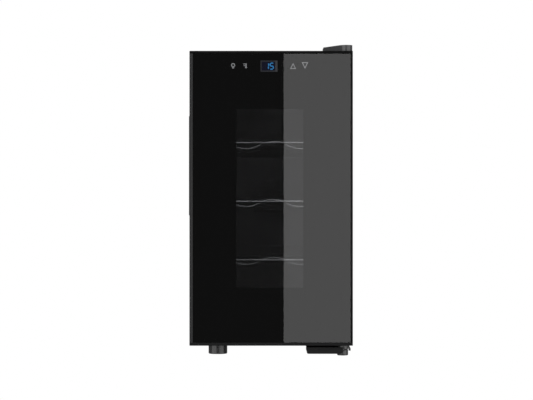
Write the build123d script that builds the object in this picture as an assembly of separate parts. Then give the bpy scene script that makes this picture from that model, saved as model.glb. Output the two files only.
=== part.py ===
from build123d import *
import math
import os

# Thermoelectric wine cooler: an insulated steel cabinet, a hinged glass door, three
# wire shelves that slide on runners, and a Peltier cooling unit in the back wall.
# Millimetres. X runs to the right, Y to the back and Z up. The origin is on the floor
# under the middle of the whole object, and the door is at the front.

# Whole object
overall_depth = 500.0
sheet = 0.8                  # steel sheet of the cabinet

# Door
door_width = 250.0
door_height = 451.0
door_depth = 44.0
door_clearance = 17.0        # floor to the door's underside
rim_left = 5.1               # how much of each frame side shows around the glass
rim_right = 3.1
rim_top = 4.1
rim_bottom = 4.7
frame_wall = 2.2
frame_edge = 0.8             # rounding of the frame's outer front edges
stile_edge = 1.8             # rounding of the left stile's outer front edge
rim_slope = 1.2              # width of the slope from the left rim down to the glass
ledge_width = 5.0            # ledge behind the glass edge
ledge_thickness = 2.5
glass_thickness = 4.0
glass_setback = 0.6          # glass front behind the front of the frame
glass_gap = 0.3              # between the glass edge and the frame
mask_thickness = 0.3
window_width = 102.8
window_height = 274.0
window_offset = -2.0         # window centre from the door centre, sideways
window_rise = 88.3           # window's lower edge above the door's underside
spacer_depth = 11.7
spacer_width = 8.0
pane_margin = 12.0           # inner pane beyond the window on every side
pane_thickness = 4.0
door_liner_wall = 2.5
recess_wall = 2.0
recess_margin = 4.0          # recess beyond the window, at the inner pane
recess_flare = 8.0           # how much further it opens at the back
seal_inset = 12.0            # seal's outer edge from the door's outer edge
seal_width = 12.0
seal_base = 2.0
seal_neck = 2.2
seal_gap = 7.0               # door liner to cabinet front
seal_clearance = 0.3

# Handle cup in the door's left side
handle_proud = 0.9
handle_length = 152.0
handle_width = 32.0
handle_rise = 199.5          # cup's lower end above the door's underside
handle_lip = 7.0             # flange around the pocket, at the ends
handle_side_lip = 5.0        # flange around the pocket, at the sides
handle_pocket = 20.0         # pocket depth from the door side
handle_wall = 2.0

# Display and touch controls behind the glass
control_rise = 427.8         # control centre above the door's underside
display_width = 26.2
display_height = 17.4
display_offset = -3.3        # display centre from the door centre
display_depth = 8.0
tray_width = 134.0
tray_height = 26.0
tray_depth = 16.0
tray_wall = 1.6
board_thickness = 1.6
touch_offsets = (-57.2, -39.6, 33.6, 51.8)
touch_pad_radius = 4.0

# Hinges
hinge_inset = 9.5            # hinge axis from the door's right side
hinge_setback = 21.0         # hinge axis behind the door front
hinge_gap = 1.0              # door to hinge plate
hinge_plate = 3.0
pin_radius = 3.0
pin_fit = 0.06               # running clearance of the pin in its bush
pin_reach = 12.0             # pin inside the door
bush_radius = 5.0
bush_flange = 8.0
rivet_radius = 5.0
rivet_height = 2.0
cover_height = 9.0
cover_wall = 1.6
cover_knuckle = 9.5
cover_length = 43.7          # hinge cover, left end to right end
cover_reach = 46.0           # hinge cover behind the cabinet front
cover_fall = 1.2             # drop of the cover's top at its left end
hinge_arm = 6.5              # half width of the upper plate's arm
lower_arm_left = 11.8        # lower plate's arm, left of the axis
lower_arm_right = 3.6
knuckle_height = 5.8         # knuckle under the door that holds the lower pin
knuckle_edge = 1.2
lip_radius = 6.6             # hooked lip beside the knuckle
lip_thickness = 3.0
lip_width = 10.0
lip_tail = 2.0
lip_inset = 2.2              # lip from the door's right side
plate_back = 45.0            # hinge plates behind the cabinet front
upper_plate_width = 38.0
lower_plate_width = 67.0
backing = 3.0
hinge_screw_radius = 2.0
hinge_head_radius = 3.6
hinge_head_height = 2.0

# Cabinet
handle_overhang = 7.0        # door beyond the cabinet on the handle side
base_sheet = 1.2
bend_radius = 2.4
side_wall = 31.5             # insulation and liner on each side of the cavity
cavity_width = door_width - handle_overhang - 2 * side_wall
cavity_height = 379.0
cavity_corner = 8.0
floor_wall = 29.8            # insulation under the cavity
liner_wall = 2.0
rear_foam = 32.0
back_cover = 1.2
guard_proud = 3.8
guard_ear = 1.6

# Shelves: a frame of straight wires with waved wires welded on top
shelf_count = 3
shelf_rise = 97.6            # first front rail above the cavity floor
shelf_pitch = 92.4
shelf_setback = 49.0         # front rail behind the cabinet front
shelf_back_gap = 11.0        # shelf to the cover of the cooling unit
shelf_side_gap = 2.2         # side wire to the cavity wall
rail_radius = 1.8
wave_radius = 1.4
wave_swing = 11.4            # crest to trough
wave_count = 5
wave_first = 39.0            # first wave behind the front rail
bottle_places = 2
weld_gap = 0.05
shelf_travel = 50.0
runner_width = 6.0
runner_height = 4.0
runner_gap = 0.3             # wire to its runner
stop_thickness = 3.0
lug_radius = 1.2
lug_place = 150.0            # stop lug behind the front rail

# Cooling unit in the back wall
unit_rise = 190.0            # unit centre above the cavity floor
cold_base = 100.0
cold_base_thickness = 6.0
cold_fins = 14.0
cold_fin_pitch = 5.0
fin_thickness = 1.5
cold_block_size = 50.0
peltier_size = 40.0
peltier_thickness = 3.8
peltier_opening = 56.0
hot_width = 130.0
hot_height = 150.0
hot_base_thickness = 6.0
hot_fins = 33.2
hot_fin_pitch = 6.5
clamp_spread = 38.0
clamp_radius = 2.0
cold_fan_size = 80.0
cold_fan_depth = 15.0
cold_fan_bore = 38.0
cold_fan_hub = 13.0
cold_fan_hole = 35.75
hot_fan_size = 120.0
hot_fan_depth = 25.0
hot_fan_bore = 57.5
hot_fan_hub = 20.0
hot_fan_hole = 52.5
fan_screw_radius = 1.6
fan_head_radius = 3.0
fan_head_height = 2.0
fan_screw_length = 18.0
clamp_head_radius = 3.6
clamp_head_height = 2.4
fan_mount = 4.0
fan_tip_gap = 1.5
shaft_radius = 1.5
shaft_fit = 0.05
unit_cover_width = 132.0
unit_cover_height = 152.0
unit_cover_wall = 1.8
cover_ear = 2.4
unit_cover_room = 5.0        # cover front ahead of the fan

# The depth left for the cavity, and the shelf that fits in it
hot_depth = hot_base_thickness + hot_fins + hot_fan_depth
back_depth = liner_wall + rear_foam + sheet + hot_depth + back_cover + guard_proud
cavity_depth = overall_depth - door_depth - seal_gap - back_depth
cold_depth = cold_base_thickness + cold_fins + cold_fan_depth + unit_cover_room
shelf_depth = cavity_depth - shelf_setback - shelf_back_gap - cold_depth

# Rear compartment
post_radius = 5.0
post_inset = 14.0
power_board_width = 100.0
power_board_height = 80.0
power_board_rise = 20.0      # above the base plate
cover_screw_length = 12.0
cover_head_radius = 3.2
transformer_width = 30.0
transformer_depth = 26.0
transformer_height = 28.0
capacitor_radius = 6.0
capacitor_depth = 20.0
capacitor_pitch = 16.0
power_sink_width = 14.0
power_sink_depth = 22.0
power_sink_height = 36.0
plug_width = 14.0
plug_depth = 7.0
plug_height = 7.0
plug_drop = 3.0              # plug below the board's upper edge
lead_radius = 1.6
lead_bend = 8.0
standoff = 8.0
standoff_radius = 3.5
gland_radius = 6.5
gland_flange = 9.0
gland_flange_thickness = 2.5
gland_bore = 3.6
gland_tail = 9.0
gland_inset = 34.0
gland_rise = 52.0

# Lamp and temperature probe in the cavity
lamp_length = 84.0
lamp_width = 18.0
lamp_drop = 6.0
lamp_setback = 22.0
lamp_wall = 1.4
probe_radius = 3.0
probe_reach = 10.0
probe_flange = 6.0
probe_setback = 22.0         # from the cavity's back wall

# Feet
left_pad_radius = 14.6
left_pad_height = 14.5
left_foot_inset = 35.0       # foot centre from the cabinet's left side
left_foot_setback = 20.6     # foot centre behind the cabinet front
left_stud_radius = 4.0
right_pad_radius = 8.5
right_pad_height = 9.0
right_foot_inset = 14.4      # foot centre from the door's right side
right_foot_setback = 35.0    # foot centre behind the door front
right_stud_radius = 3.0
stud_fit = 0.06
stud_seat = 4.0              # bottom of the stud above the floor
stud_top_left = 29.0
stud_drop_right = 1.2        # top of the right stud under the base
insert_radius = 8.0
insert_height = 12.0
nut_top_radius = 5.6
nut_tip_radius = 3.9
nut_tip = 9.5                # lower end of the nut above the floor
toe_width = 55.7
toe_height = 10.0
toe_depth = 72.0
toe_clearance = 3.9
toe_front = 10.0             # block front behind the door front
toe_inset = 14.5             # block's right end from the door's right side
toe_wall = 2.5               # wall in front of the foot and the knuckle
toe_gap = 1.5                # room beside the foot
toe_heel_front = 52.0        # lower heel behind the door front, which props the corner
toe_heel_clearance = 1.0
toe_heel_inset = 5.0
toe_round = 2.5
rear_foot_radius = 12.0
rear_foot_inset = 30.0
rear_foot_setback = 34.0     # from the cabinet's back
foot_edge = 1.5

# Places across the object
x_door = handle_proud / 2
x_left = x_door - door_width / 2
x_right = x_door + door_width / 2
x_axis = x_right - hinge_inset
x_window = x_door + window_offset
x_cab_left = x_left + handle_overhang
x_cab_right = x_right
x_cavity = (x_cab_left + x_cab_right) / 2

# Places along the depth
y_front = -overall_depth / 2
y_rear = overall_depth / 2
y_glass = y_front + glass_setback
y_glass_back = y_glass + glass_thickness
y_mask_back = y_glass_back + mask_thickness
y_ledge_back = y_mask_back + ledge_thickness
y_pane = y_mask_back + spacer_depth
y_pane_back = y_pane + pane_thickness
y_door_back = y_front + door_depth
y_liner_plate = y_door_back - door_liner_wall
y_axis = y_front + hinge_setback
y_cabinet = y_door_back + seal_gap
y_flange_back = y_cabinet + liner_wall
y_cavity_back = y_cabinet + cavity_depth
y_liner_back = y_cavity_back + liner_wall
y_back_plate = y_liner_back + rear_foam
y_back_plate_rear = y_back_plate + sheet
y_cab_back = y_rear - guard_proud
y_cover = y_cab_back - back_cover

# Places up the object
z_door = door_clearance
z_door_top = z_door + door_height
z_base = z_door - hinge_gap
z_top = z_door_top + hinge_gap
z_base_top = z_base + base_sheet
z_floor = z_base_top + floor_wall
z_ceiling = z_floor + cavity_height
z_window = z_door + window_rise
z_controls = z_door + control_rise
z_unit = z_floor + unit_rise
z_lower_plate = z_base - hinge_plate
z_upper_plate = z_top + hinge_plate


def block(x, y, z):
    """A box between two places on each axis."""
    box = Box(x[1] - x[0], y[1] - y[0], z[1] - z[0], align=(Align.MIN, Align.MIN, Align.MIN))
    return Pos(x[0], y[0], z[0]) * box


def rod_x(x, y, z, radius):
    """A round bar along X."""
    bar = Cylinder(radius, x[1] - x[0], align=(Align.CENTER, Align.CENTER, Align.MIN))
    return Pos(x[0], y, z) * Rot(0, 90, 0) * bar


def rod_y(x, y, z, radius):
    """A round bar along Y."""
    bar = Cylinder(radius, y[1] - y[0], align=(Align.CENTER, Align.CENTER, Align.MIN))
    return Pos(x, y[0], z) * Rot(-90, 0, 0) * bar


def rod_z(x, y, z, radius):
    """A round bar along Z."""
    bar = Cylinder(radius, z[1] - z[0], align=(Align.CENTER, Align.CENTER, Align.MIN))
    return Pos(x, y, z[0]) * bar


def about(middle, size):
    """The two ends of a length centred on a place."""
    return (middle - size / 2, middle + size / 2)


def ring(x, y, z, width):
    """A rectangular frame facing front, of one width all round."""
    hole = block((x[0] + width, x[1] - width), (y[0] - 1, y[1] + 1), (z[0] + width, z[1] - width))
    return block(x, y, z) - hole


def grown(pair, amount):
    """A length made longer by the same amount at both ends."""
    return (pair[0] - amount, pair[1] + amount)


def screw(at, way, radius, length, head_radius, head_height):
    """A screw whose head sits on a face at a place, with its shank pointing one way."""
    shank = rod_z(0, 0, (0, length), radius)
    head = rod_z(0, 0, (-head_height, 0), head_radius)
    slot = Pos(0, 0, -head_height) * Box(head_radius * 1.3, head_radius * 0.3, head_height)
    cross = Rot(0, 0, 90) * slot
    return Plane(origin=at, z_dir=way) * (shank + head - slot - cross)


def group(pieces):
    """Several separate solids kept as one node."""
    return Compound(children=list(pieces))


# The outlines that several pieces share
door_inside_x = (x_left + frame_wall, x_right - frame_wall)
door_inside_z = (z_door + rim_bottom, z_door_top - rim_top)
window_x = about(x_window, window_width)
window_z = (z_window, z_window + window_height)
pane_x = grown(window_x, pane_margin)
pane_z = grown(window_z, pane_margin)
cab_inside_x = (x_cab_left + sheet, x_cab_right - sheet)
cab_inside_z = (z_base_top, z_top - sheet)
cavity_x = about(x_cavity, cavity_width)
cavity_z = (z_floor, z_ceiling)
x_display = x_door + display_offset
display_x = about(x_display, display_width)
display_z = about(z_controls, display_height)
tray_x = about(x_door, tray_width)
tray_z = about(z_controls, tray_height)
tray_y = (y_mask_back, y_mask_back + tray_depth)
handle_z = (z_door + handle_rise, z_door + handle_rise + handle_length)
handle_y = about(y_front + door_depth / 2 + 2, handle_width)
cup_y = grown(handle_y, -handle_side_lip)
cup_z = grown(handle_z, -handle_lip)


# Door pieces
def door_stile(side):
    """One upright of the door frame: side wall, front rim and the ledge behind the glass."""
    rim = rim_left if side < 0 else rim_right
    outer = x_left if side < 0 else x_right

    def span(width):
        return (outer, outer + width) if side < 0 else (outer - width, outer)

    stile = block(span(frame_wall), (y_front, y_door_back), door_inside_z)
    stile += block(span(rim), (y_front, y_mask_back), door_inside_z)
    stile += block(span(rim + ledge_width), (y_mask_back, y_ledge_back), door_inside_z)
    corner = stile.edges().filter_by(Axis.Z).group_by(Axis.Y)[0]
    corner = corner.sort_by(Axis.X)[0] if side < 0 else corner.sort_by(Axis.X)[-1]
    stile = fillet(corner, stile_edge if side < 0 else frame_edge)
    if side < 0:
        foot = outer + rim
        slope = make_face(Polyline((foot, y_glass), (foot - rim_slope, y_front), (foot, y_front), close=True))
        stile -= extrude(Pos(0, 0, door_inside_z[0]) * slope, door_inside_z[1] - door_inside_z[0])
        stile -= block(grown(span(frame_wall), 1), grown(cup_y, 0.1), grown(cup_z, 0.1))
    return stile


def door_cap(z_outer, way, thickness):
    """The top or bottom cap of the door frame, with its ledge and the hole for the bush."""
    inner = z_outer - way * thickness
    flat = (min(inner, z_outer), max(inner, z_outer))
    cap = block((x_left, x_right), (y_front, y_door_back), flat)
    corners = cap.edges().filter_by(Axis.Z).group_by(Axis.Y)[0].sort_by(Axis.X)
    cap = fillet(corners[0], stile_edge)
    corners = cap.edges().filter_by(Axis.Z).group_by(Axis.Y)[0].sort_by(Axis.X)
    cap = fillet(corners[-1], frame_edge)
    edges = cap.edges().filter_by(Axis.X).group_by(Axis.Y)[0].sort_by(Axis.Z)
    edge = edges[-1] if way > 0 else edges[0]
    cap = fillet(edge, frame_edge)
    end = inner - way * ledge_width
    ledge_x = (x_left + rim_left + ledge_width, x_right - rim_right - ledge_width)
    cap += block(ledge_x, (y_mask_back, y_ledge_back), (min(inner, end), max(inner, end)))
    return cap - rod_z(x_axis, y_axis, grown(flat, 1), bush_radius + 0.02)


glass_x = (x_left + rim_left + glass_gap, x_right - rim_right - glass_gap)
glass_z = (z_door + rim_bottom + glass_gap, z_door_top - rim_top - glass_gap)


def outer_glass():
    """The flush front pane."""
    return block(glass_x, (y_glass, y_glass_back), glass_z)


def glass_mask():
    """The opaque print behind the front pane, open at the window and at the display."""
    depth = (y_glass_back, y_mask_back)
    mask = block(glass_x, depth, glass_z)
    mask -= block(window_x, grown(depth, 1), window_z)
    return mask - block(display_x, grown(depth, 1), display_z)


def glass_spacer():
    """The bar that holds the two panes apart."""
    return ring(pane_x, (y_mask_back, y_pane), pane_z, spacer_width)


def inner_glass():
    return block(pane_x, (y_pane, y_pane_back), pane_z)


def recess(margin):
    """A solid that opens out from the inner pane to the back of the door."""
    width = window_width + 2 * margin
    height = window_height + 2 * margin
    middle = (x_window, z_window + window_height / 2)
    near = Plane(origin=(middle[0], y_pane_back, middle[1]), z_dir=(0, 1, 0), x_dir=(1, 0, 0))
    far = Plane(origin=(middle[0], y_door_back, middle[1]), z_dir=(0, 1, 0), x_dir=(1, 0, 0))
    wide = Rectangle(width + 2 * recess_flare, height + 2 * recess_flare)
    return loft([near * Rectangle(width, height), far * wide])


def door_liner():
    """The inner face of the door with the sloped recess around the window."""
    plate = block(door_inside_x, (y_liner_plate, y_door_back), door_inside_z)
    return plate + recess(recess_margin + recess_wall) - recess(recess_margin)


def door_foam():
    """The insulation that fills the door around the panes and the controls."""
    inside_x = (x_left + rim_left + ledge_width, x_right - rim_right - ledge_width)
    inside_z = grown(door_inside_z, -ledge_width)
    foam = block(door_inside_x, (y_ledge_back, y_liner_plate), door_inside_z)
    foam += block(inside_x, (y_mask_back, y_ledge_back), inside_z)
    foam -= block(pane_x, (y_front, y_pane_back), pane_z)
    foam -= recess(recess_margin + recess_wall)
    foam -= block(tray_x, tray_y, tray_z)
    foam -= block((x_left, x_left + handle_pocket + handle_wall), cup_y, cup_z)
    reach = pin_reach + 1.3
    foam -= rod_z(x_axis, y_axis, (z_door, z_door + reach), bush_radius + 0.3)
    return foam - rod_z(x_axis, y_axis, (z_door_top - reach, z_door_top), bush_radius + 0.3)


def door_gasket():
    """The magnetic seal: a base on the door, a narrow neck and a flat face."""
    outer_x = grown((x_left, x_right), -seal_inset)
    outer_z = grown((z_door, z_door_top), -seal_inset)
    y_neck = y_door_back + seal_base
    y_face = y_neck + seal_neck
    neck_in = 2.5
    seal = ring(outer_x, (y_door_back, y_neck), outer_z, seal_width)
    neck = seal_width - 2 * neck_in
    seal += ring(grown(outer_x, -neck_in), (y_neck, y_face), grown(outer_z, -neck_in), neck)
    face = (y_face, y_cabinet - seal_clearance)
    return seal + ring(grown(outer_x, -0.5), face, grown(outer_z, -0.5), seal_width - 1)


def handle_cup():
    """The finger pocket set into the door's left side, with a thin flange outside."""
    cup = block((x_left - handle_proud, x_left), handle_y, handle_z)
    cup = fillet(cup.edges().filter_by(Axis.X), 3)
    cup += block((x_left, x_left + handle_pocket + handle_wall), cup_y, cup_z)
    pocket_x = (x_left - handle_proud - 1, x_left + handle_pocket)
    pocket = block(pocket_x, grown(cup_y, -handle_wall), grown(cup_z, -handle_wall))
    pocket = fillet(pocket.edges().filter_by(Axis.X), 4)
    return cup - pocket


def control_tray():
    """The tray behind the glass that holds the touch board."""
    room = (tray_y[0] - 1, tray_y[1] - tray_wall)
    return block(tray_x, tray_y, tray_z) - block(grown(tray_x, -tray_wall), room, grown(tray_z, -tray_wall))


board_y = (y_glass_back + display_depth, y_glass_back + display_depth + board_thickness)


def touch_board():
    return block(grown(tray_x, -tray_wall), board_y, grown(tray_z, -tray_wall))


def display_module():
    """The two-figure display, its face against the glass through the mask."""
    return block(grown(display_x, -0.1), (y_glass_back, board_y[0]), grown(display_z, -0.1))


def touch_pads():
    """Soft conductive pads between the touch board and the glass."""
    depth = (y_mask_back, board_y[0])
    return group(rod_y(x_door + place, depth, z_controls, touch_pad_radius) for place in touch_offsets)


def door_bushes():
    """Flanged bushes in the caps that turn on the hinge pins."""
    bore = pin_radius + pin_fit
    reach = pin_reach + 1
    low = rod_z(x_axis, y_axis, (z_door, z_door + reach), bush_radius)
    low += rod_z(x_axis, y_axis, (z_door - hinge_gap + 0.1, z_door), bush_flange)
    low -= rod_z(x_axis, y_axis, (z_door - 2, z_door + reach + 1), bore)
    high = rod_z(x_axis, y_axis, (z_door_top - reach, z_door_top), bush_radius)
    high += rod_z(x_axis, y_axis, (z_door_top, z_door_top + hinge_gap - 0.2), bush_flange)
    high -= rod_z(x_axis, y_axis, (z_door_top - reach - 1, z_door_top + 2), bore)
    return group([low, high])


# Hinges
def upper_screw_places():
    right = x_right - 16
    left = x_right - upper_plate_width + 3
    return [(left, y_cabinet + 14), (left, y_cabinet + 34), (right, y_cabinet + 30)]


def lower_screw_places():
    left = x_right - lower_plate_width + 10
    return [(left, y_cabinet + 36), (x_axis - 6, y_cabinet + 36), (x_axis - 30, y_cabinet + 36)]


def hinge_outline(width, arm, z):
    """A flat plate under or over the cabinet with an arm that reaches to the hinge axis."""
    plate = block((x_right - 3 - width, x_right - 3), (y_cabinet + 3, y_cabinet + plate_back - 3), z)
    return plate + block(arm, (y_axis, y_cabinet + 10), z)


def upper_hinge_plate():
    z = (z_top, z_upper_plate)
    plate = hinge_outline(upper_plate_width, about(x_axis, 2 * hinge_arm), z)
    plate += rod_z(x_axis, y_axis, z, hinge_arm)
    plate -= rod_z(x_axis, y_axis, grown(z, 1), pin_radius + 0.02)
    for place in upper_screw_places():
        plate -= rod_z(*place, grown(z, 1), hinge_screw_radius + 0.15)
    return plate


def hinge_pins():
    """The upper pin with its riveted head, and the plain lower pin."""
    upper = rod_z(x_axis, y_axis, (z_door_top - pin_reach, z_upper_plate), pin_radius)
    upper += rod_z(x_axis, y_axis, (z_upper_plate, z_upper_plate + rivet_height), rivet_radius)
    lower = rod_z(x_axis, y_axis, (z_base - knuckle_height, z_door + pin_reach), pin_radius)
    return group([upper, lower])


def cover_shape(inset, height):
    """The hinge cover's outline: a round knuckle in front that runs back to a straight body."""
    left = x_right - cover_length
    knuckle = cover_knuckle - inset
    back = y_cabinet + cover_reach - inset
    slope = math.atan2(y_cabinet - (y_axis - cover_knuckle), x_axis - left)
    touch = (x_axis - knuckle * math.sin(slope), y_axis - knuckle * math.cos(slope))
    with_left = left + inset
    start = y_cabinet + inset
    outline = Polyline(
        touch,
        (with_left, start),
        (with_left, back),
        (x_right - inset, back),
        (x_right - inset, y_axis),
        (x_axis, y_axis),
        close=True,
    )
    shape = extrude(Pos(0, 0, z_top) * make_face(outline), height)
    return shape + rod_z(x_axis, y_axis, (z_top, z_top + height), knuckle)


def upper_hinge_cover():
    """The moulded cover over the upper hinge, open underneath."""
    cover = cover_shape(0, cover_height)
    run = x_axis - cover_knuckle - (x_right - cover_length)
    tilt = math.degrees(math.atan2(cover_fall, run))
    top = z_top + cover_height
    wedge = Box(run * 3, 200, 10, align=(Align.MAX, Align.CENTER, Align.MIN))
    cover -= Pos(x_axis - cover_knuckle, y_cabinet, top) * Rot(0, -tilt, 0) * wedge
    return cover - cover_shape(cover_wall, cover_height - cover_wall - cover_fall)


upper_backing_box = (
    (x_right - upper_plate_width - 8, x_right - 6),
    (y_cabinet + 5, y_cabinet + plate_back),
    (z_top - sheet - backing, z_top - sheet),
)
lower_backing_box = (
    (x_right - lower_plate_width - 2, x_right - 6),
    (y_cabinet + 24, y_cabinet + 48),
    (z_base_top, z_base_top + backing),
)


def right_foot_place():
    return (x_right - right_foot_inset, y_front + right_foot_setback)


def lower_hinge_plate():
    """The plate under the cabinet, with a round knuckle for the lower pin and a hooked lip."""
    z = (z_lower_plate, z_base)
    arm = (x_axis - lower_arm_left, x_axis + lower_arm_right)
    plate = hinge_outline(lower_plate_width, arm, z)
    knuckle_z = (z_base - knuckle_height, z_base)
    knuckle = rod_z((arm[0] + arm[1]) / 2, y_axis, knuckle_z, (arm[1] - arm[0]) / 2)
    plate += chamfer(knuckle.edges().group_by(Axis.Z)[0], knuckle_edge)
    foot = right_foot_place()
    lip_x = x_right - lip_inset - lip_radius
    lip_z = z_base - lip_radius
    lip_y = about(foot[1], lip_width)
    hook = rod_y(lip_x, lip_y, lip_z, lip_radius)
    hook -= rod_y(lip_x, grown(lip_y, 1), lip_z, lip_radius - lip_thickness)
    hook &= block((lip_x, lip_x + lip_radius), lip_y, (lip_z, z_base))
    tail_x = (lip_x + lip_radius - lip_thickness, lip_x + lip_radius)
    hook += block(tail_x, lip_y, (lip_z - lip_tail, lip_z))
    plate += hook
    plate -= rod_z(x_axis, y_axis, grown(knuckle_z, 1), pin_radius + 0.02)
    plate -= rod_z(*foot, grown(z, 1), nut_tip_radius + 1.0)
    for place in lower_screw_places():
        plate -= rod_z(*place, grown(z, 1), hinge_screw_radius + 0.15)
    return plate


def hinge_screws():
    """Screws that hold both hinge plates to the strips inside the cabinet."""
    screws = []
    for x, y in upper_screw_places():
        length = hinge_plate + sheet + backing
        at = (x, y, z_upper_plate)
        screws.append(screw(at, (0, 0, -1), hinge_screw_radius, length, hinge_head_radius, hinge_head_height))
    for x, y in lower_screw_places():
        length = hinge_plate + base_sheet + backing
        at = (x, y, z_lower_plate)
        screws.append(screw(at, (0, 0, 1), hinge_screw_radius, length, hinge_head_radius, hinge_head_height))
    return group(screws)


def hinge_backings():
    """The steel strips inside the cabinet top and bottom that take the hinge screws."""
    upper = block(*upper_backing_box)
    for place in upper_screw_places():
        upper -= rod_z(*place, (z_top - 9, z_top), hinge_screw_radius + 0.05)
    lower = block(*lower_backing_box)
    for place in lower_screw_places():
        lower -= rod_z(*place, (z_base, z_base + 9), hinge_screw_radius + 0.05)
    return group([upper, lower])


def hinge_toe_block():
    """The block under the lower hinge plate: a round end in front of the foot, a heel behind it."""
    right = x_right - toe_inset
    x = (right - toe_width, right)
    y = (y_front + toe_front, y_front + toe_front + toe_depth)
    z = (toe_clearance, toe_clearance + toe_height)
    toe = block(x, y, z)
    toe = fillet(toe.edges().filter_by(Axis.Y).group_by(Axis.X)[-1], toe_height / 2 - 0.05)
    toe = fillet(toe.edges().filter_by(Axis.Y).group_by(Axis.X)[0].sort_by(Axis.Z)[0], toe_round)
    toe += block(grown(x, -toe_heel_inset), (y_front + toe_heel_front, y[1]), (toe_heel_clearance, z[1] - 1))
    foot = right_foot_place()
    beside = foot[0] - right_pad_radius - toe_gap
    behind = foot[1] + right_pad_radius + toe_gap
    above = (z_lower_plate, z[1] + 1)
    toe -= block(grown(x, 1), (y_cabinet + 2, y[1] + 1), above)
    toe -= block((beside, right + 1), (y[0] + toe_wall, behind), grown(z, 1))
    toe -= block((beside, right + 1), (y[0] + toe_wall, y[1] + 1), above)
    for place in lower_screw_places():
        room = (z_lower_plate - hinge_head_height - 1, z_lower_plate + 1)
        toe -= rod_z(*place, room, hinge_head_radius + 1)
    return toe


# Feet
left_foot = (x_cab_left + left_foot_inset, y_cabinet + left_foot_setback)
rear_feet_places = [
    (x_cab_left + rear_foot_inset, y_cab_back - rear_foot_setback),
    (x_cab_right - rear_foot_inset, y_cab_back - rear_foot_setback),
]


def foot_pad(place, radius, height, stud_radius):
    """A round foot that turns with its stud, with rounded edges."""
    pad = rod_z(*place, (0, height), radius)
    pad = fillet(pad.edges(), foot_edge)
    return pad - rod_z(*place, (stud_seat, height + 1), stud_radius + stud_fit)


def front_left_pad():
    return foot_pad(left_foot, left_pad_radius, left_pad_height, left_stud_radius)


def front_left_stud():
    return rod_z(*left_foot, (stud_seat, stud_top_left), left_stud_radius)


def front_right_pad():
    return foot_pad(right_foot_place(), right_pad_radius, right_pad_height, right_stud_radius)


def front_right_stud():
    return rod_z(*right_foot_place(), (stud_seat, z_base - stud_drop_right), right_stud_radius)


def foot_nuts():
    """The tapered nut under the lower hinge plate, and the insert above the base plate."""
    foot = right_foot_place()
    height = z_lower_plate - nut_tip
    cone = Cone(nut_tip_radius, nut_top_radius, height, align=(Align.CENTER, Align.CENTER, Align.MIN))
    nut = Pos(foot[0], foot[1], nut_tip) * cone
    nut += rod_z(*foot, (z_lower_plate, z_base), nut_tip_radius + 0.95)
    nut -= rod_z(*foot, (nut_tip - 1, z_base + 1), right_stud_radius + stud_fit)
    insert = rod_z(*left_foot, (z_base_top, z_base_top + insert_height), insert_radius)
    insert -= rod_z(*left_foot, (z_base, z_base_top + insert_height + 1), left_stud_radius + stud_fit)
    return group([nut, insert])


def rear_feet():
    """Two plain feet, each with a stem that passes through the base plate."""
    feet = []
    for place in rear_feet_places:
        foot = rod_z(*place, (0, z_base), rear_foot_radius)
        foot = fillet(foot.edges().group_by(Axis.Z)[0], foot_edge)
        foot += rod_z(*place, (z_base, z_base_top), 4)
        feet.append(foot)
    return group(feet)


# Cabinet
def cabinet_wrap():
    """The outer sheet bent over the top and down both sides."""
    y = (y_cabinet, y_cab_back)
    outer = block((x_cab_left, x_cab_right), y, (z_base, z_top))
    outer = fillet(outer.edges().filter_by(Axis.Y).group_by(Axis.Z)[-1], bend_radius)
    inner = block(cab_inside_x, grown(y, 1), (z_base - 1, z_top - sheet))
    inner = fillet(inner.edges().filter_by(Axis.Y).group_by(Axis.Z)[-1], bend_radius - sheet)
    wrap = outer - inner
    for place in upper_screw_places():
        wrap -= rod_z(*place, (z_top - 3, z_top + 1), hinge_screw_radius + 0.15)
    return wrap


def base_plate():
    plate = block(cab_inside_x, (y_cabinet, y_cover), (z_base, z_base_top))
    plate -= rod_z(*left_foot, (z_base - 1, z_base_top + 1), left_stud_radius + stud_fit)
    for place in rear_feet_places:
        plate -= rod_z(*place, (z_base - 1, z_base_top + 1), 4.1)
    for place in lower_screw_places():
        plate -= rod_z(*place, (z_base - 1, z_base_top + 1), hinge_screw_radius + 0.15)
    return plate


def tub(wall, y):
    """The cavity's block, larger by a wall all round, with round corners."""
    shape = block(grown(cavity_x, wall), y, grown(cavity_z, wall))
    return fillet(shape.edges().filter_by(Axis.Y), cavity_corner + wall)


unit_opening_x = about(x_cavity, peltier_opening)
unit_opening_z = about(z_unit, peltier_opening)
clamp_places = [
    (x_cavity + a * clamp_spread, z_unit + b * clamp_spread) for a in (-1, 1) for b in (-1, 1)
]
cover_ears = [
    (x_cavity + a * (unit_cover_width / 2 + 5), z_unit + b * (unit_cover_height / 2 - 14))
    for a in (-1, 1)
    for b in (-1, 1)
]


def inner_liner():
    """The moulded cavity with a flat flange around its mouth."""
    flange_z = cab_inside_z
    liner = block(cab_inside_x, (y_cabinet, y_flange_back), flange_z)
    corner = bend_radius - sheet
    liner = fillet(liner.edges().filter_by(Axis.Y).group_by(Axis.Z)[-1], corner)
    liner += tub(liner_wall, (y_cabinet, y_liner_back))
    liner -= tub(0, (y_cabinet - 1, y_cavity_back))
    through = (y_cavity_back - 1, y_liner_back + 1)
    liner -= block(unit_opening_x, through, unit_opening_z)
    for x, z in clamp_places:
        liner -= rod_y(x, through, z, clamp_radius + 0.2)
    for x, z in cover_ears:
        liner -= rod_y(x, through, z, fan_screw_radius + 0.1)
    return liner


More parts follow.
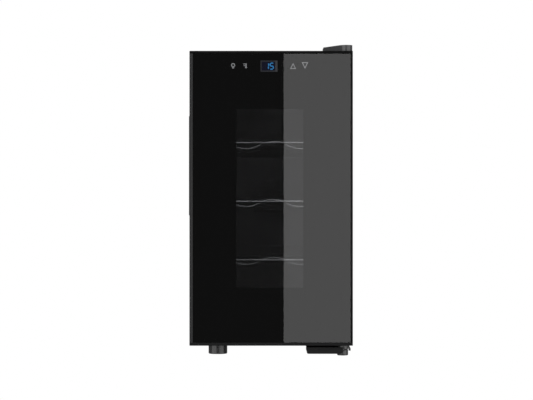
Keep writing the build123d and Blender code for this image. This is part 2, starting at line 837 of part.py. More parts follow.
def cabinet_foam():
    """The insulation between the liner and the outer sheets."""
    foam = block(cab_inside_x, (y_flange_back, y_back_plate), cab_inside_z)
    foam = fillet(foam.edges().filter_by(Axis.Y).group_by(Axis.Z)[-1], bend_radius - sheet)
    foam -= tub(liner_wall, (y_cabinet, y_liner_back))
    through = (y_liner_back - 1, y_back_plate + 1)
    foam -= block(unit_opening_x, through, unit_opening_z)
    for x, z in clamp_places:
        foam -= rod_y(x, through, z, clamp_radius + 0.3)
    for x, z in cover_ears:
        foam -= rod_y(x, (y_liner_back - 1, y_liner_back + cover_screw_length), z, fan_screw_radius + 0.3)
    foam -= block(*upper_backing_box)
    foam -= block(*lower_backing_box)
    foam -= rod_z(*left_foot, (z_base, z_base_top + insert_height + 0.3), insert_radius + 0.3)
    for place in lower_screw_places():
        foam -= rod_z(*place, (z_base, z_base_top + backing + 1), hinge_screw_radius + 0.3)
    return foam


def back_plate():
    """The sheet behind the insulation that the hot side of the unit is pressed on."""
    plate = block(cab_inside_x, (y_back_plate, y_back_plate_rear), cab_inside_z)
    plate = fillet(plate.edges().filter_by(Axis.Y).group_by(Axis.Z)[-1], bend_radius - sheet)
    through = (y_back_plate - 1, y_back_plate_rear + 1)
    plate -= block(unit_opening_x, through, unit_opening_z)
    for x, z in clamp_places:
        plate -= rod_y(x, through, z, clamp_radius + 0.2)
    return plate


post_places = [
    (a, b)
    for a in (x_cab_left + post_inset, x_cab_right - post_inset)
    for b in (z_base_top + post_inset, z_top - post_inset)
]
gland_place = (x_cab_left + gland_inset, z_base_top + gland_rise)
hot_fan_corners = [
    (x_cavity + a * hot_fan_hole, z_unit + b * hot_fan_hole) for a in (-1, 1) for b in (-1, 1)
]


def rear_posts():
    """Posts on the back plate: four for the rear cover, four for the power board."""
    posts = []
    for x, z in post_places:
        post = rod_y(x, (y_back_plate_rear, y_cover), z, post_radius)
        hole = (y_cover - cover_screw_length - 2, y_cover + 1)
        posts.append(post - rod_y(x, hole, z, fan_screw_radius + 0.05))
    for x, z in standoff_places:
        posts.append(rod_y(x, (y_back_plate_rear, power_y[0]), z, standoff_radius))
    return group(posts)


def rear_screws():
    """Screws seen from behind: four in the cover's posts, four in the hot fan."""
    way = (0, -1, 0)
    screws = []
    for x, z in post_places:
        at = (x, y_cab_back, z)
        length = cover_screw_length
        screws.append(screw(at, way, fan_screw_radius, length, cover_head_radius, fan_head_height))
    for x, z in hot_fan_corners:
        at = (x, y_cab_back + guard_ear, z)
        screws.append(screw(at, way, fan_screw_radius, fan_screw_length, fan_head_radius, fan_head_height))
    return group(screws)


def rear_cover():
    """The vented panel that closes the back, open behind the fan."""
    plate = block(cab_inside_x, (y_cover, y_cab_back), cab_inside_z)
    plate = fillet(plate.edges().filter_by(Axis.Y).group_by(Axis.Z)[-1], bend_radius - sheet)
    through = (y_cover - 1, y_cab_back + 1)
    plate -= rod_y(x_cavity, through, z_unit, hot_fan_bore)
    slot_height = 4.0
    slot_pitch = 10.0
    for row in range(8):
        high = z_top - 44 - row * slot_pitch
        low = z_base_top + 36 + row * slot_pitch
        for side in (-1, 1):
            middle = x_cavity + side * 46
            plate -= block(about(middle, 70), through, about(high, slot_height))
        plate -= block(about(x_cavity + 46, 70), through, about(low, slot_height))
    for x, z in post_places + hot_fan_corners:
        plate -= rod_y(x, through, z, fan_screw_radius + 0.15)
    return plate - rod_y(*(gland_place[0], through, gland_place[1]), gland_radius + 0.1)


def fan_guard():
    """Rings and bars over the fan opening, standing on an outer ring with four ears."""
    y = (y_cab_back, y_rear)
    bars = (y_rear - 2.4, y_rear)
    rim = hot_fan_bore + 3
    guard = rod_y(x_cavity, y, z_unit, rim) - rod_y(x_cavity, grown(y, 1), z_unit, rim - 3)
    for step in range(1, 5):
        radius = step * (rim - 3) / 5
        hoop = rod_y(x_cavity, bars, z_unit, radius + 1.2)
        hoop -= rod_y(x_cavity, grown(bars, 1), z_unit, radius - 1.2)
        guard += hoop
    for angle in (0, 90):
        arm = Box(2 * rim - 2, 2.4, 2.4, align=(Align.CENTER, Align.MAX, Align.CENTER))
        guard += Pos(x_cavity, y_rear, z_unit) * Rot(0, angle, 0) * arm
    for x, z in hot_fan_corners:
        ear_y = (y_cab_back, y_cab_back + guard_ear)
        ear = rod_y(x, ear_y, z, 5)
        angle = math.degrees(math.atan2(z - z_unit, x - x_cavity))
        reach = math.hypot(x - x_cavity, z - z_unit) - rim + 1.5
        bridge = Pos(rim - 1.5, 0, 0) * Box(reach, guard_ear, 7, align=(Align.MIN, Align.MIN, Align.CENTER))
        ear += Pos(x_cavity, y_cab_back, z_unit) * Rot(0, -angle, 0) * bridge
        guard += ear
        guard -= rod_y(x, grown(ear_y, 1), z, fan_screw_radius + 0.15)
    return guard


def cord_gland():
    """The bush in the rear cover that the supply cord passes through."""
    x, z = gland_place
    gland = rod_y(x, (y_cover - gland_tail, y_cab_back), z, gland_radius)
    gland += rod_y(x, (y_cab_back, y_cab_back + gland_flange_thickness), z, gland_flange)
    return gland - rod_y(x, (y_cover - gland_tail - 1, y_rear), z, gland_bore)


# Shelves and runners
rail_x = grown(cavity_x, -(shelf_side_gap + rail_radius))
y_shelf = y_cabinet + shelf_setback
y_lug = y_shelf + lug_place


def wave_wire(y, z):
    """A wire bent into equal arcs, from crest to crest, one dip for each bottle."""
    pitch = (rail_x[1] - rail_x[0]) / bottle_places
    middle = z + rail_radius + wave_radius + weld_gap - wave_swing / 2
    half = wave_swing / 2
    bend = (half + (pitch / 4) ** 2 / half) / 2
    lean = math.asin(pitch / 4 / bend) / 2
    in_x = bend * math.sin(lean)
    in_z = bend * (1 - math.cos(lean))
    left = rail_x[0]
    right = rail_x[1]
    path = ThreePointArc(
        (left, y, middle + half),
        (left + in_x, y, middle + half - in_z),
        (left + pitch / 4, y, middle),
    )
    for step in range(2 * bottle_places - 1):
        start = left + pitch / 4 + step * pitch / 2
        way = -1 if step % 2 == 0 else 1
        path += ThreePointArc(
            (start, y, middle),
            (start + pitch / 4, y, middle + way * half),
            (start + pitch / 2, y, middle),
        )
    path += ThreePointArc(
        (right - pitch / 4, y, middle),
        (right - in_x, y, middle + half - in_z),
        (right, y, middle + half),
    )
    section = Plane(origin=path @ 0, z_dir=path % 0) * Circle(wave_radius)
    return sweep(section, path=path)


def wire_shelf(level):
    """One shelf: two side wires, front, back and middle wires, waves and two stop lugs."""
    z = z_floor + shelf_rise + level * shelf_pitch
    y_end = y_shelf + shelf_depth
    between = grown(rail_x, -rail_radius)
    wires = [rod_y(x, (y_shelf - rail_radius, y_end + rail_radius), z, rail_radius) for x in rail_x]
    wires.append(rod_x(between, y_shelf, z, rail_radius))
    wires.append(rod_x(between, y_end, z, rail_radius))
    wires.append(rod_y(x_cavity, (y_shelf + rail_radius, y_end - rail_radius), z, rail_radius))
    last = shelf_depth - 8
    for step in range(wave_count):
        place = wave_first + step * (last - wave_first) / (wave_count - 1)
        wires.append(wave_wire(y_shelf + place, z))
    out = rail_radius + shelf_side_gap - 0.4
    wires.append(rod_x((rail_x[0] - out, rail_x[0] - rail_radius), y_lug, z, lug_radius))
    wires.append(rod_x((rail_x[1] + rail_radius, rail_x[1] + out), y_lug, z, lug_radius))
    return group(wires)


def shelf_runners():
    """Ledges on both side walls for every shelf, with stops that the lugs run between."""
    pieces = []
    for level in range(shelf_count):
        z = z_floor + shelf_rise + level * shelf_pitch
        top = z - rail_radius - runner_gap
        y = (y_cabinet + 8, y_shelf + shelf_depth + 4)
        ahead = y_lug - lug_radius - shelf_travel - 0.4
        behind = y_lug + lug_radius + 0.4
        for side in (-1, 1):
            wall = cavity_x[0] if side < 0 else cavity_x[1]
            ledge = (wall, wall + runner_width) if side < 0 else (wall - runner_width, wall)
            lip = shelf_side_gap - 0.4
            stop = (wall, wall + lip) if side < 0 else (wall - lip, wall)
            pieces.append(block(ledge, y, (top - runner_height, top)))
            pieces.append(block(stop, (ahead - stop_thickness, ahead), (top, z + 2.5)))
            pieces.append(block(stop, (behind, behind + stop_thickness), (top, z + 2.5)))
    return group(pieces)


# Lamp and probe
def lamp_lens():
    """The clear cover over the lamp board, under the cavity's ceiling."""
    x = about(x_cavity, lamp_length)
    y = about(y_cabinet + lamp_setback, lamp_width)
    z = (z_ceiling - lamp_drop, z_ceiling)
    lens = block(x, y, z)
    lens = fillet(lens.edges().group_by(Axis.Z)[0], 1.2)
    room = (z[0] + lamp_wall, z_ceiling + 1)
    return lens - block(grown(x, -lamp_wall), grown(y, -lamp_wall), room)


def temperature_probe():
    z = z_floor + shelf_rise + shelf_pitch * 1.5
    x = cavity_x[1]
    y = y_cavity_back - probe_setback
    probe = rod_x((x - 2, x), y, z, probe_flange)
    tip = rod_x((x - 2 - probe_reach, x - 2), y, z, probe_radius)
    tip = fillet(tip.edges().sort_by(Axis.X)[0], 1.5)
    return probe + tip


# Cooling unit, from the cold side to the hot side
y_cold_base = y_cavity_back - cold_base_thickness
y_cold_fins = y_cold_base - cold_fins
y_cold_fan = y_cold_fins - cold_fan_depth
y_hot_base = y_back_plate_rear
y_hot_fins = y_hot_base + hot_base_thickness
y_hot_fan = y_cover - hot_fan_depth
y_peltier = y_hot_base - peltier_thickness
y_unit_cover = y_cold_fan - unit_cover_room
cold_fan_corners = [
    (x_cavity + a * cold_fan_hole, z_unit + b * cold_fan_hole) for a in (-1, 1) for b in (-1, 1)
]


def sink_fins(width, height, pitch, y):
    """Upright fins across a sink."""
    count = int((width - fin_thickness) // pitch)
    first = x_cavity - count * pitch / 2
    middles = [first + step * pitch for step in range(count + 1)]
    return [block(about(middle, fin_thickness), y, about(z_unit, height)) for middle in middles]


def cold_sink():
    """The finned plate on the cavity's back wall, with posts for the fan screws."""
    size = cold_base
    sink = block(about(x_cavity, size), (y_cold_base, y_cavity_back), about(z_unit, size))
    sink += sink_fins(size, size, cold_fin_pitch, (y_cold_fins, y_cold_base))
    for x, z in cold_fan_corners:
        sink += rod_y(x, (y_cold_fins, y_cold_base), z, 4)
    for x, z in cold_fan_corners:
        sink -= rod_y(x, (y_cold_fins - 1, y_cold_fins + 11), z, fan_screw_radius + 0.05)
    for x, z in clamp_places:
        sink -= rod_y(x, (y_cold_base + 1, y_cavity_back + 1), z, clamp_radius + 0.05)
    return sink


def cold_block():
    size = cold_block_size
    return block(about(x_cavity, size), (y_cavity_back, y_peltier), about(z_unit, size))


def peltier_module():
    size = peltier_size
    return block(about(x_cavity, size), (y_peltier, y_hot_base), about(z_unit, size))


def peltier_seal():
    """The ring that closes the gap around the Peltier module."""
    size = peltier_opening - 0.4
    width = (size - peltier_size - 0.6) / 2
    return ring(about(x_cavity, size), (y_peltier, y_hot_base), about(z_unit, size), width)


def hot_sink():
    """The large finned sink behind the back plate, cut for the clamp screws."""
    sink = block(about(x_cavity, hot_width), (y_hot_base, y_hot_fins), about(z_unit, hot_height))
    sink += sink_fins(hot_width, hot_height, hot_fin_pitch, (y_hot_fins, y_hot_fan))
    for x, z in clamp_places:
        sink -= rod_y(x, (y_hot_fins, y_hot_fan + 1), z, clamp_head_radius + 0.8)
        sink -= rod_y(x, (y_hot_base - 1, y_hot_fins + 1), z, clamp_radius + 0.2)
    return sink


def unit_screws():
    """Long screws that draw the two sinks together, and those of the cold fan and its cover."""
    screws = []
    for x, z in clamp_places:
        length = y_hot_fins - y_cold_base - 1.5
        at = (x, y_hot_fins, z)
        screws.append(screw(at, (0, -1, 0), clamp_radius, length, clamp_head_radius, clamp_head_height))
    for x, z in cold_fan_corners:
        length = cold_fan_depth + 9
        at = (x, y_cold_fan, z)
        screws.append(screw(at, (0, 1, 0), fan_screw_radius, length, fan_head_radius, fan_head_height))
    for x, z in cover_ears:
        at = (x, y_cavity_back - cover_ear, z)
        length = cover_screw_length
        screws.append(screw(at, (0, 1, 0), fan_screw_radius, length, fan_head_radius, fan_head_height))
    return group(screws)


def fan_frame(size, depth, bore, hub, y, corners):
    """A square fan frame with four arms that hold the bearing plate at the back."""
    frame = block(about(x_cavity, size), (y, y + depth), about(z_unit, size))
    frame = fillet(frame.edges().filter_by(Axis.Y), 5)
    frame -= rod_y(x_cavity, (y - 1, y + depth + 1), z_unit, bore)
    plate = (y + depth - fan_mount, y + depth)
    frame += rod_y(x_cavity, plate, z_unit, hub)
    for angle in (0, 90):
        arm = Box(2 * bore + 2, fan_mount, 4, align=(Align.CENTER, Align.MIN, Align.CENTER))
        frame += Pos(x_cavity, plate[0], z_unit) * Rot(0, angle, 0) * arm
    frame -= rod_y(x_cavity, grown(plate, 1), z_unit, shaft_radius + shaft_fit)
    for x, z in corners:
        frame -= rod_y(x, (y - 1, y + depth + 1), z, fan_screw_radius + 0.1)
    return frame


def fan_rotor(depth, bore, hub, y, blades):
    """A hub with pitched blades and a shaft that runs in the frame's bearing plate."""
    hub_y = (y + 1.5, y + depth - fan_mount - 0.8)
    length = hub_y[1] - hub_y[0]
    tip = bore - fan_tip_gap
    rotor = rod_y(x_cavity, hub_y, z_unit, hub)
    pitch = 40
    chord = (length - 1.6) / math.sin(math.radians(pitch))
    reach = tip - hub + 6
    around = rod_y(x_cavity, hub_y, z_unit, tip)
    for step in range(blades):
        blade = Rot(90 - pitch, 0, 0) * Box(reach, chord, 1.4, align=(Align.MIN, Align.CENTER, Align.CENTER))
        spot = Rot(0, step * 360 / blades, 0) * Pos(hub - 3, 0, 0) * blade
        rotor += (Pos(x_cavity, (hub_y[0] + hub_y[1]) / 2, z_unit) * spot) & around
    return rotor + rod_y(x_cavity, (hub_y[1] - 1, y + depth - 0.3), z_unit, shaft_radius)


def cold_fan_frame():
    return fan_frame(cold_fan_size, cold_fan_depth, cold_fan_bore, cold_fan_hub, y_cold_fan, cold_fan_corners)


def cold_fan_rotor():
    return fan_rotor(cold_fan_depth, cold_fan_bore, cold_fan_hub, y_cold_fan, 7)


def hot_fan_frame():
    return fan_frame(hot_fan_size, hot_fan_depth, hot_fan_bore, hot_fan_hub, y_hot_fan, hot_fan_corners)


def hot_fan_rotor():
    return fan_rotor(hot_fan_depth, hot_fan_bore, hot_fan_hub, y_hot_fan, 7)


def inner_fan_cover():
    """The box over the cold fan, slotted in front and open above and below for the air."""
    x = about(x_cavity, unit_cover_width)
    z = about(z_unit, unit_cover_height)
    cover = block(x, (y_unit_cover, y_cavity_back), z)
    cover = fillet(cover.edges().group_by(Axis.Y)[0], 3)
    room = (y_unit_cover + unit_cover_wall, y_cavity_back + 1)
    cover -= block(grown(x, -unit_cover_wall), room, grown(z, -unit_cover_wall))
    front = (y_unit_cover - 1, y_unit_cover + unit_cover_wall + 1)
    for row in range(9):
        middle = z_unit + (row - 4) * 8
        half = math.sqrt(max(cold_fan_bore ** 2 - (middle - z_unit) ** 2, 0))
        for side in (-1, 1):
            inner = x_cavity + side * 1.5
            outer = x_cavity + side * half
            cover -= block((min(inner, outer), max(inner, outer)), front, about(middle, 4))
    for side in (-1, 1):
        for step in range(9):
            middle = x_cavity + (step - 4) * 12
            z_wall = z_unit + side * unit_cover_height / 2
            cover -= block(about(middle, 6), (y_unit_cover + 8, y_cavity_back - 8), about(z_wall, 8))
    for x_ear, z_ear in cover_ears:
        side = 1 if x_ear > x_cavity else -1
        edge = x_cavity + side * unit_cover_width / 2
        ear_x = (min(edge, edge + side * 10), max(edge, edge + side * 10))
        ear_y = (y_cavity_back - cover_ear, y_cavity_back)
        cover += block(ear_x, ear_y, about(z_ear, 14))
        cover -= rod_y(x_ear, grown(ear_y, 1), z_ear, fan_screw_radius + 0.1)
    return cover


# Power supply in the rear compartment
board_x = about(x_cavity + 10, power_board_width)
board_z = (z_base_top + power_board_rise, z_base_top + power_board_rise + power_board_height)
power_y = (y_back_plate_rear + standoff, y_back_plate_rear + standoff + board_thickness)
x_plug = board_x[0] + 0.77 * power_board_width
standoff_places = [
    (x, z)
    for x in (board_x[0] + 6, board_x[1] - 6)
    for z in (board_z[0] + 6, board_z[1] - 6)
]


def cabinet_boards():
    """The power board behind the back plate, and the lamp board under the ceiling."""
    x = about(x_cavity, lamp_length - 2 * lamp_wall - 1)
    y = about(y_cabinet + lamp_setback, lamp_width - 2 * lamp_wall - 1)
    lamp = block(x, y, (z_ceiling - board_thickness, z_ceiling))
    return group([block(board_x, power_y, board_z), lamp])


def power_components():
    """Transformer, capacitors, a heat sink and the fan plug on the board."""
    y = power_y[1]
    left = board_x[0]
    z = board_z[0] + 0.5 * power_board_height
    z_low = board_z[0] + 0.475 * power_board_height
    x = about(left + 0.53 * power_board_width, transformer_width)
    pieces = [block(x, (y, y + transformer_depth), about(z, transformer_height))]
    x = left + 0.8 * power_board_width
    for step in (-1, 0, 1):
        pieces.append(rod_y(x, (y, y + capacitor_depth), z_low + step * capacitor_pitch, capacitor_radius))
    x = about(left + 0.21 * power_board_width, power_sink_width)
    pieces.append(block(x, (y, y + power_sink_depth), about(z_low, power_sink_height)))
    z_plug = board_z[1] - plug_drop
    pieces.append(block(about(x_plug, plug_width), (y, y + plug_depth), (z_plug - plug_height, z_plug)))
    return group(pieces)


def hot_fan_lead():
    """The lead from the fan frame down to its plug on the power board."""
    x = x_plug
    y_fan = y_hot_fan + 0.48 * hot_fan_depth
    z_fan = z_unit - hot_fan_size / 2
    y_plug = power_y[1] + plug_depth / 2
    z_plug = board_z[1] - plug_drop
    half = (z_fan + z_plug) / 2
    corners = [(x, y_fan, z_fan), (x, y_fan, half), (x, y_plug, half), (x, y_plug, z_plug)]
    path = FilletPolyline(*corners, radius=lead_bend)
    return sweep(Plane(origin=path @ 0, z_dir=path % 0) * Circle(lead_radius), path=path)


nodes = {
    "cabinet_wrap": cabinet_wrap(),
    "base_plate": base_plate(),
    "inner_liner": inner_liner(),
    "cabinet_foam": cabinet_foam(),
    "back_plate": back_plate(),
    "rear_cover": rear_cover(),
    "rear_posts": rear_posts(),
    "rear_screws": rear_screws(),
    "fan_guard": fan_guard(),
    "cord_gland": cord_gland(),
    "shelf_runners": shelf_runners(),
    "lamp_lens": lamp_lens(),
    "temperature_probe": temperature_probe(),
    "upper_hinge_plate": upper_hinge_plate(),
    "upper_hinge_cover": upper_hinge_cover(),
    "lower_hinge_plate": lower_hinge_plate(),
    "hinge_pins": hinge_pins(),
    "hinge_screws": hinge_screws(),
    "hinge_backings": hinge_backings(),
    "hinge_toe_block": hinge_toe_block(),
    "foot_nuts": foot_nuts(),
    "rear_feet": rear_feet(),
    "front_left_stud": front_left_stud(),
    "front_left_pad": front_left_pad(),
    "front_right_stud": front_right_stud(),
    "front_right_pad": front_right_pad(),
    "cold_sink": cold_sink(),
    "cold_block": cold_block(),
    "peltier_module": peltier_module(),
    "peltier_seal": peltier_seal(),
    "hot_sink": hot_sink(),
    "unit_screws": unit_screws(),
    "cold_fan_frame": cold_fan_frame(),
    "cold_fan_rotor": cold_fan_rotor(),
    "hot_fan_frame": hot_fan_frame(),
    "hot_fan_rotor": hot_fan_rotor(),
    "hot_fan_lead": hot_fan_lead(),
    "inner_fan_cover": inner_fan_cover(),
    "cabinet_boards": cabinet_boards(),
    "power_components": power_components(),
    "shelf_bottom": wire_shelf(0),
    "shelf_middle": wire_shelf(1),
    "shelf_top": wire_shelf(2),
    "outer_glass": outer_glass(),
    "glass_mask": glass_mask(),
    "glass_spacer": glass_spacer(),
    "inner_glass": inner_glass(),
    "door_stile_left": door_stile(-1),
    "door_stile_right": door_stile(1),
    "door_cap_top": door_cap(z_door_top, 1, rim_top),
    "door_cap_bottom": door_cap(z_door, -1, rim_bottom),
    "door_liner": door_liner(),
    "door_foam": door_foam(),
    "door_gasket": door_gasket(),
    "door_bushes": door_bushes(),
    "handle_cup": handle_cup(),
    "control_tray": control_tray(),
    "touch_board": touch_board(),
    "display_module": display_module(),
    "touch_pads": touch_pads(),
}

os.makedirs("parts", exist_ok=True)
for name, shape in nodes.items():
    export_step(shape, os.path.join("parts", name + ".step"))
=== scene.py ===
# %% [markdown]
# # A compact wine cooler, dressed from its solid model
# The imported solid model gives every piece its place. This lesson adds the thin things
# that a solid model leaves out, such as the print behind the glass and the lit figures,
# and gives every piece a finish that is worked out by nodes, with no pictures.

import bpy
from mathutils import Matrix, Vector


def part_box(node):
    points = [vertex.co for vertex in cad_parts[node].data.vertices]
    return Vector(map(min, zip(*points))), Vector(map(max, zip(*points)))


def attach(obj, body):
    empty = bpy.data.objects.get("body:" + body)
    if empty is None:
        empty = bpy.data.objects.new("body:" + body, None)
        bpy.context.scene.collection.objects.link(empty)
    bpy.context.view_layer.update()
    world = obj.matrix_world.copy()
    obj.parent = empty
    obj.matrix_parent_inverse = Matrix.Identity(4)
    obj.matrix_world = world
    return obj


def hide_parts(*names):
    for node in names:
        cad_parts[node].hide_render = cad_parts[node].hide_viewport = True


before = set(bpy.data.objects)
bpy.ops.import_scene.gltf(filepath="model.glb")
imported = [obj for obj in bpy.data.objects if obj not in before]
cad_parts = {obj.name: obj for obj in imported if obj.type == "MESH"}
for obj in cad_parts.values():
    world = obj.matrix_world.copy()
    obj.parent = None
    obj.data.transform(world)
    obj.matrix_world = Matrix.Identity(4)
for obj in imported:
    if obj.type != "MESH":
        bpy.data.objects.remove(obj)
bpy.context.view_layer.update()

# %% [markdown]
# ## Working by hand, in code
# An operator acts on whatever is selected, and the loaded pieces start out selected. So a
# helper first deselects everything, and another picks faces or edges by where they are.

# %% Helpers for selecting and for edit mode
import math

import bmesh
import bpy
from mathutils import Matrix, Vector

MM = 0.001


def work_on(piece):
    """Select one piece alone and make it the active one."""
    if bpy.context.object and bpy.context.object.mode != "OBJECT":
        bpy.ops.object.mode_set(mode="OBJECT")
    bpy.ops.object.select_all(action="DESELECT")
    if piece:
        piece.select_set(True)
        bpy.context.view_layer.objects.active = piece


def pick(piece, kind, test):
    """In edit mode, select the faces or the edges whose middle passes a test."""
    bpy.ops.mesh.select_mode(type=kind)
    bpy.ops.mesh.select_all(action="DESELECT")
    mesh = bmesh.from_edit_mesh(piece.data)
    groups = {"FACE": mesh.faces, "EDGE": mesh.edges}
    for item in groups[kind]:
        middle = sum((corner.co for corner in item.verts), Vector()) / len(item.verts)
        if test(middle):
            item.select_set(True)
    mesh.select_flush_mode()
    bmesh.update_edit_mesh(piece.data)


def use_modifier(piece, kind, **values):
    """Add a modifier with its values and apply it."""
    work_on(piece)
    modifier = piece.modifiers.new(kind.lower(), kind)
    for name, value in values.items():
        setattr(modifier, name, value)
    bpy.ops.object.modifier_apply(modifier=modifier.name)


print("helpers ready")

# %% [markdown]
# ## Flat pieces that face the front
# The print, the display and the marks are thin sheets that stand upright behind the glass.
# Each starts as a plane turned to face the front, and a Solidify modifier gives it its
# thickness towards the back. A figure or a mark has several such plates, which are joined
# into one piece.

# %% A plate that faces the front
glass_low, glass_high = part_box("outer_glass")
glass_back = glass_high.y
print("glass back at", round(glass_back / MM, 2), "mm")


def upright_plate(name, x, y, z, width, height):
    """A flat plate that faces the front, in metres."""
    work_on(None)
    turn = (math.radians(90), 0, 0)
    bpy.ops.mesh.primitive_plane_add(size=1, location=(x, y, z), rotation=turn)
    plate = bpy.context.object
    plate.name = name
    plate.scale = (width, height, 1)
    bpy.ops.object.transform_apply(location=True, rotation=True, scale=True)
    return plate


def join_as(name, pieces):
    """Join several pieces into one object with a name."""
    work_on(pieces[0])
    for piece in pieces:
        piece.select_set(True)
    bpy.ops.object.join()
    joined = bpy.context.object
    joined.name = name
    joined.data.name = name
    return joined


# %% [markdown]
# ## The black print behind the glass
# A door of this kind has ceramic ink fired onto the back of its pane. The ink hides the
# frame and the foam, and leaves a clear window and a small opening for the display. It is
# one plane that is cut along the openings' edges; the faces in the openings are deleted.
# Its front lies a tenth of a millimetre inside the glass, because fired ink has no air
# between it and the pane, so it shows no second reflection.

# %% Cut the print
mask_low, mask_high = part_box("glass_mask")
pane_low, pane_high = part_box("inner_glass")
screen_low, screen_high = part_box("display_module")
pane_edge = 12 * MM
screen_room = 0.1 * MM
print_sunk = 0.1 * MM
print_margin = 0.4 * MM
print_thick = 0.4 * MM
window_x = (pane_low.x + pane_edge, pane_high.x - pane_edge)
window_z = (pane_low.z + pane_edge, pane_high.z - pane_edge)
screen_x = (screen_low.x - screen_room, screen_high.x + screen_room)
screen_z = (screen_low.z - screen_room, screen_high.z + screen_room)


def inside(middle, x, z):
    """Whether a middle lies between two sides and between two heights."""
    return x[0] < middle.x < x[1] and z[0] < middle.z < z[1]


ink = upright_plate(
    "glass_print",
    (mask_low.x + mask_high.x) / 2,
    glass_back - print_sunk,
    (mask_low.z + mask_high.z) / 2,
    mask_high.x - mask_low.x - print_margin,
    mask_high.z - mask_low.z - print_margin,
)
work_on(ink)
bpy.ops.object.mode_set(mode="EDIT")
for place in (*window_x, *screen_x):
    bpy.ops.mesh.select_all(action="SELECT")
    bpy.ops.mesh.bisect(plane_co=(place, 0, 0), plane_no=(1, 0, 0))
for place in (*window_z, *screen_z):
    bpy.ops.mesh.select_all(action="SELECT")
    bpy.ops.mesh.bisect(plane_co=(0, 0, place), plane_no=(0, 0, 1))
pick(ink, "FACE", lambda m: inside(m, window_x, window_z) or inside(m, screen_x, screen_z))
bpy.ops.mesh.delete(type="FACE")
bpy.ops.object.mode_set(mode="OBJECT")
use_modifier(ink, "SOLIDIFY", thickness=print_thick, offset=-1)
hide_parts("glass_mask")
print("print faces:", len(ink.data.polygons))
print("window mm:", [round(v / MM, 1) for v in window_x + window_z])

# %% [markdown]
# ## The display's frame and its dark screen
# The display is a small block with a grey frame around a navy screen; the frame's glow is
# painted light for the screen's light spilling onto it. The frame is a plane with an inset,
# wider on the right; the inner face is taken out and the rest made thick. The screen is a
# second plane whose middle is pressed back a little, as a filter sheet in its frame.

# %% Model the frame and the screen
display_x = (screen_low.x + screen_high.x) / 2
display_z = (screen_low.z + screen_high.z) / 2
display_wide = screen_high.x - screen_low.x
display_high = screen_high.z - screen_low.z
frame_width = 2.0 * MM
wide_side = 1.7 * MM
bezel_y = glass_back - 0.25 * MM
near = 0.1 * MM

bezel = upright_plate("display_frame", display_x, bezel_y, display_z, display_wide, display_high)
work_on(bezel)
bpy.ops.object.mode_set(mode="EDIT")
bpy.ops.mesh.select_all(action="SELECT")
bpy.ops.mesh.inset(thickness=frame_width)
bpy.ops.mesh.delete(type="FACE")
inner_side = display_x + display_wide / 2 - frame_width
pick(bezel, "EDGE", lambda m: abs(m.x - inner_side) < near and abs(m.z - display_z) < near)
bpy.ops.transform.translate(value=(-wide_side, 0, 0))
bpy.ops.object.mode_set(mode="OBJECT")
use_modifier(bezel, "SOLIDIFY", thickness=0.35 * MM, offset=-1)
use_modifier(bezel, "BEVEL", width=0.08 * MM, segments=2, limit_method="ANGLE")

inner_wide = display_wide - 2 * frame_width - wide_side
inner_x = display_x - wide_side / 2
inner_high = display_high - 2 * frame_width
screen_y = glass_back - 0.2 * MM
filter_edge = 0.5 * MM
filter_sunk = 0.05 * MM
screen = upright_plate("display_screen", inner_x, screen_y, display_z, inner_wide, inner_high)
work_on(screen)
bpy.ops.object.mode_set(mode="EDIT")
bpy.ops.mesh.select_all(action="SELECT")
bpy.ops.mesh.inset(thickness=filter_edge)
bpy.ops.transform.translate(value=(0, filter_sunk, 0))
bpy.ops.object.mode_set(mode="OBJECT")
use_modifier(screen, "SOLIDIFY", thickness=0.25 * MM, offset=-1)
print("display mm:", round(display_wide / MM, 1), "x", round(display_high / MM, 1))

# %% [markdown]
# ## Seven-bar figures
# Each figure has seven bars with pointed ends, and shows a number by lighting some. One
# bar is modelled from a plane: each end is extruded and merged to a point. The bars of
# both figures are copies with their own mesh, leaned a little as on most displays. The
# bars that are off stay as a separate, hardly visible piece.

# %% Model one bar and lay out the figures
figure_high = 10.9 * MM
figure_wide = 6.6 * MM
stroke = 1.7 * MM
bar_gap = 0.2 * MM
lean = 0.07
bar_y = glass_back - 0.32 * MM


def pointed_bar(name, length):
    """A bar along X whose two ends run out to points."""
    straight = length - stroke
    near_end = straight * 0.49
    bar = upright_plate(name, 0, bar_y, 0, straight, stroke)
    work_on(bar)
    bpy.ops.object.mode_set(mode="EDIT")
    for side in (-1, 1):
        pick(bar, "EDGE", lambda m: side * m.x > near_end)
        push = {"value": (side * stroke / 2, 0, 0)}
        bpy.ops.mesh.extrude_region_move(TRANSFORM_OT_translate=push)
        bpy.ops.mesh.merge(type="CENTER")
    bpy.ops.mesh.select_all(action="SELECT")
    bpy.ops.mesh.normals_make_consistent(inside=False)
    bpy.ops.object.mode_set(mode="OBJECT")
    return bar


def bar_copy(bar, name, x, z, upright):
    """A copy with its own mesh, turned upright if asked, at a place in its figure."""
    copy = bar.copy()
    copy.data = bar.data.copy()
    copy.name = name
    bpy.context.scene.collection.objects.link(copy)
    if upright:
        copy.data.transform(Matrix.Rotation(math.radians(90), 4, "Y"))
    copy.data.transform(Matrix.Translation((x + lean * z, 0, z)))
    return copy


